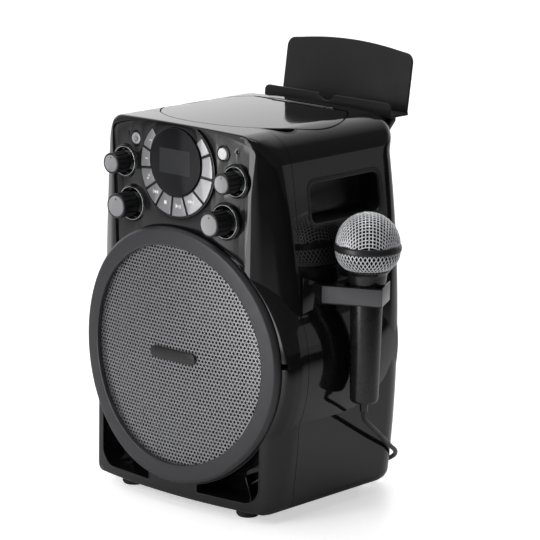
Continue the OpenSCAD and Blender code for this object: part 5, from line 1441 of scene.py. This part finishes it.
def strands(lines):
    pts, edges = [], []
    for line in lines:
        n = len(pts)
        pts += [tuple(p) for p in row(line)]
        edges += [(n + i, n + i + 1) for i in range(len(line) - 1)]
    return pts, edges


def dome_net(r, gap, low):
    """Square mesh pressed over a dome, as two crossing families of strands: every cell keeps its side length.
    gap is the side, low the height at which the strands stop, both from the dome's middle."""
    turn = gap / r
    n = int(math.radians(110) / turn)
    net = {(0, 0): np.array([0.0, 0.0, r])}
    for i in range(1, n):
        net[i, 0] = r * np.array([math.sin(i * turn), 0, math.cos(i * turn)])
        net[0, i] = r * np.array([0, math.sin(i * turn), math.cos(i * turn)])
    for i in range(1, n):
        for j in range(1, n):
            a, b, c = net.get((i - 1, j)), net.get((i, j - 1)), net.get((i - 1, j - 1))
            if a is None or b is None or c is None:
                continue
            # the point opposite c that is as far from a and b as c is
            m = a + b
            new = 2 * m * (c @ m) / (m @ m) - c
            if np.linalg.norm(a - b) < 0.5 * gap:
                continue
            net[i, j] = new * r / np.linalg.norm(new)
    lines = []
    for family in (0, 1):
        for i in range(-n + 1, n):
            line = []
            for j in range(-n + 1, n):
                key = (abs(i), abs(j)) if family == 0 else (abs(j), abs(i))
                p = net.get(key)
                if p is None or p[2] < low:
                    if len(line) > 1:
                        lines.append(line)
                    line = []
                    continue
                u, v = (i, j) if family == 0 else (j, i)
                q = np.array([p[0] * (1 if u >= 0 else -1), p[1] * (1 if v >= 0 else -1), p[2]])
                over = 0.2 * (1 if (i + j + family) % 2 == 0 else -1)
                line.append(q * (1 + over / r))
            if len(line) > 1:
                lines.append(line)
    return lines


def make_microphone():
    wire = WIRE_R
    r0 = BALL_R - wire - 0.25
    turned = math.radians(DOME_TURN)
    c, s = math.cos(turned), math.sin(turned)
    lines = [[(MIC[0] + q[0] * c - q[1] * s, MIC[1] + q[0] * s + q[1] * c, DOME_Z + q[2]) for q in line]
             for line in dome_net(r0, 3.0, 0.2)]
    pts, edges = strands(lines)
    values = {"Wire Radius": wire * 0.001, "Sides": 6, "Finish": LOOKS["steel_wire"]}
    upper = grow("wire_dome", WIRES, pts, values, edges)
    add("wire_dome", upper, "steel_wire", "microphone", ("mic_mesh_upper",), 60)
    lines = []
    n = 46
    for sign in (1, -1):
        for k in range(n):
            line = []
            for t in np.linspace(0.0, 1.0, 14):
                a = 2 * math.pi * k / n + sign * 0.4 * t
                r = bowl_r(t) - wire - (0.22 if sign > 0 else 0.0)
                line.append((MIC[0] + r * math.cos(a), MIC[1] + r * math.sin(a), bowl_z(t)))
            lines.append(line)
    pts, edges = strands(lines)
    lower = grow("wire_bowl", WIRES, pts, {**values, "Wire Radius": wire * 0.0009}, edges)
    add("wire_bowl", lower, "steel_wire", "microphone", ("mic_mesh_lower",), 60)
    foam = [(0.0, COLLAR_Z - 0.5), (17.8, COLLAR_Z - 0.5)]
    foam += [(bowl_r(t) - 2.2, bowl_z(t)) for t in np.linspace(0.02, 1, 9)]
    r = BALL_R - 2.2
    foam += [(r * math.cos(e), DOME_Z + r * math.sin(e)) for e in np.radians(np.linspace(8, 90, 14))]
    add("foam_liner", to_mesh("foam_liner", [lathe(foam, MIC, "z", 64)]), "foam", "microphone", (), 50)
    band = rounded([(BAND_R - 3, BAND[0]), (BAND_R - 0.6, BAND[0], 0.4), (BAND_R, BAND[0] + 0.9, 0.8),
                    (BAND_R, BAND[1] - 1.4, 0.8), (BAND_R - 1.0, BAND[1], 0.5), (BAND_R - 3, BAND[1])], 0.3, 4)
    band = to_mesh("mic_band_ring", [lathe(band, MIC, "z", 96, around=True)])
    add("mic_band_ring", band, "mic_band", "microphone", ("mic_band",), 40)
    collar = rounded([(0, 202.0), (15.6, 202.0, 0.5), (16.1, 205.0, 2.0), (16.9, 211.0, 3.0), (19.5, 214.0, 0.8),
                      (19.9, 215.3, 0.4), (0, 215.4)], 0.3, 5, False)
    grip = rounded([(0, 201.9), (14.0, 202.0, 0.2), (12.05, 99.3, 6.5), (4.6, 99.2, 0.8), (3.6, 98.2, 0.5),
                    (3.3, 91.1, 0.6), (2.35, 91.05, 0.1), (2.35, 93.0), (0, 93.0)], 0.0, 7, False)
    for name, prof, node in (("mic_neck", collar, "mic_collar"), ("mic_grip", grip, "mic_handle")):
        mesh = to_mesh(name, [lathe(prof, MIC, "z", 96)])
        add(name, mesh, "mic_black", "microphone", (node,), 40)
    cad_copy("capsule_body", "mic_capsule", "metal", "microphone", 0.5)
    turn = math.radians(HOLDER_TURN)
    cad_copy("holder_clip", "mic_holder", "gloss_black", "body", 0.7)
    c, s = math.cos(turn), math.sin(turn)
    to_body = lambda part: ([(MIC[0] + u * c - v * s, MIC[1] + u * s + v * c, z) for u, v, z in part[0]], part[1])
    bars = [slab(round_rect(-36.0, 187.0, 16.9, 201.0, 0.9), -18.0, -17.3, 0.3)]
    bars.append(slab(round_rect(-34.9, 188.1, 15.8, 199.9, 0.5), -18.1, -17.3, 0.25))
    add("holder_strip", to_mesh("holder_strip", [to_body(b) for b in bars]), "strap", "body", (), 25)


make_microphone()

# ---------------------------------------------------------------- pieces inside that keep the CAD shape
INSIDE = {
    "potentiometers": "pot", "control_board": "board", "display_module": "display", "main_board": "board",
    "transformer": "metal",
}
for node, look in INSIDE.items():
    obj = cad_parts[node]
    obj.data.materials.clear()
    obj.data.materials.append(LOOKS[look])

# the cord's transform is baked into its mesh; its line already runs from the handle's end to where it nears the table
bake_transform(cord_obj)


# ---------------------------------------------------------------- floor, light and backdrop
# x in metres where the painted shade on the floor, as seen in reflections, begins
FLOOR_SHADE_FROM = 0.42
FLOOR_GLOW = 0.55


def make_stage():
    mesh = bpy.data.meshes.new("floor")
    mesh.from_pydata([(-30, -30, 0), (30, -30, 0), (30, 30, 0), (-30, 30, 0)], [], [(0, 1, 2, 3)])
    floor = bpy.data.objects.new("floor", mesh)
    scene.collection.objects.link(floor)
    # The sweep glows evenly for the camera, as if lit from below, so its shadows stay pale; what the gloss shows of
    # it is painted shade, its colour falling from 0.9 to 0.05 to the right.
    f = Finish("floor_white", (0.9, 0.9, 0.9), 0.3, level=0.3).uneven(3, 0.05)
    path = f.node("LightPath")
    place = f.node("SeparateXYZ", Vector=f.place.outputs["Object"])
    # painted shade: the floor's colour for reflections darkens to the right of this x, standing in for light that
    # falls off
    edge = f.node("MapRange", Value=place.outputs[0])
    for key, value in (("From Min", FLOOR_SHADE_FROM), ("From Max", FLOOR_SHADE_FROM + 0.3), ("To Min", 0.9), ("To Max", 0.05)):
        edge.inputs[key].default_value = value
    shaded_far_floor = f.node("BsdfDiffuse")
    f.tree.links.new(edge.outputs[0], shaded_far_floor.inputs["Color"])
    glow = f.node("Emission", Strength=FLOOR_GLOW)
    lit = f.tree.nodes.new("ShaderNodeAddShader")
    f.tree.links.new(f.shader.outputs[0], lit.inputs[0])
    f.tree.links.new(glow.outputs[0], lit.inputs[1])
    mix = f.tree.nodes.new("ShaderNodeMixShader")
    f.tree.links.new(path.outputs["Is Camera Ray"], mix.inputs[0])
    f.tree.links.new(shaded_far_floor.outputs[0], mix.inputs[1])
    f.tree.links.new(lit.outputs[0], mix.inputs[2])
    f.tree.links.new(mix.outputs[0], f.out.inputs[0])
    mesh.materials.append(f.mat)
    world = bpy.data.worlds.new("studio")
    scene.world = world
    world.use_nodes = True
    t = world.node_tree
    t.nodes.clear()
    out = t.nodes.new("ShaderNodeOutputWorld")
    at = t.nodes.new("ShaderNodeTexCoord")
    toward = t.nodes.new("ShaderNodeVectorMath")
    toward.operation = "DOT_PRODUCT"
    toward.inputs[1].default_value = (-0.8, 0.6, 0.1)
    t.links.new(at.outputs["Generated"], toward.inputs[0])
    ramp = t.nodes.new("ShaderNodeValToRGB")
    t.links.new(toward.outputs["Value"], ramp.inputs[0])
    e = ramp.color_ramp.elements
    e[0].position, e[0].color = 0.28, (0.1, 0.1, 0.105, 1)
    e[1].position, e[1].color = 0.75, (1, 1, 1, 1)
    studio = t.nodes.new("ShaderNodeBackground")
    t.links.new(ramp.outputs[0], studio.inputs[0])
    studio.inputs[1].default_value = 1.25
    white = t.nodes.new("ShaderNodeBackground")
    white.inputs[0].default_value = (1, 1, 1, 1)
    path = t.nodes.new("ShaderNodeLightPath")
    mix = t.nodes.new("ShaderNodeMixShader")
    t.links.new(path.outputs["Is Camera Ray"], mix.inputs[0])
    t.links.new(studio.outputs[0], mix.inputs[1])
    t.links.new(white.outputs[0], mix.inputs[2])
    t.links.new(mix.outputs[0], out.inputs[0])

    def softbox(name, place, aim, size, power):
        data = bpy.data.lights.new(name, "AREA")
        data.shape = "RECTANGLE"
        data.size, data.size_y = size
        data.energy = power
        data.spread = math.radians(180)
        light = bpy.data.objects.new(name, data)
        light.location = place
        light.rotation_euler = (Vector(aim) - Vector(place)).to_track_quat("-Z", "Y").to_euler()
        light.visible_camera = False
        scene.collection.objects.link(light)

    softbox("overhead", (0.0, 0.0, 1.9), (0, 0, 0.1), (1.2, 1.2), 12)
    softbox("front_strip", (-0.06, -0.68, 0.34), (0.0, -0.1, 0.33), (0.26, 0.64), 2.1)
    softbox("front_soft", (-0.29, -0.64, 0.34), (0.0, -0.1, 0.33), (0.2, 0.64), 0.42)
    softbox("key_left", (-0.9, -1.5, 1.3), (0, 0, 0.2), (0.7, 0.9), 2.5)
    softbox("side_fill", (1.5, 1.3, 0.3), (0, 0, 0.2), (0.9, 0.6), 0.6)
    scene.view_settings.view_transform = "Standard"
    scene.view_settings.look = "None"
    scene.view_settings.exposure = 0.0


make_stage()
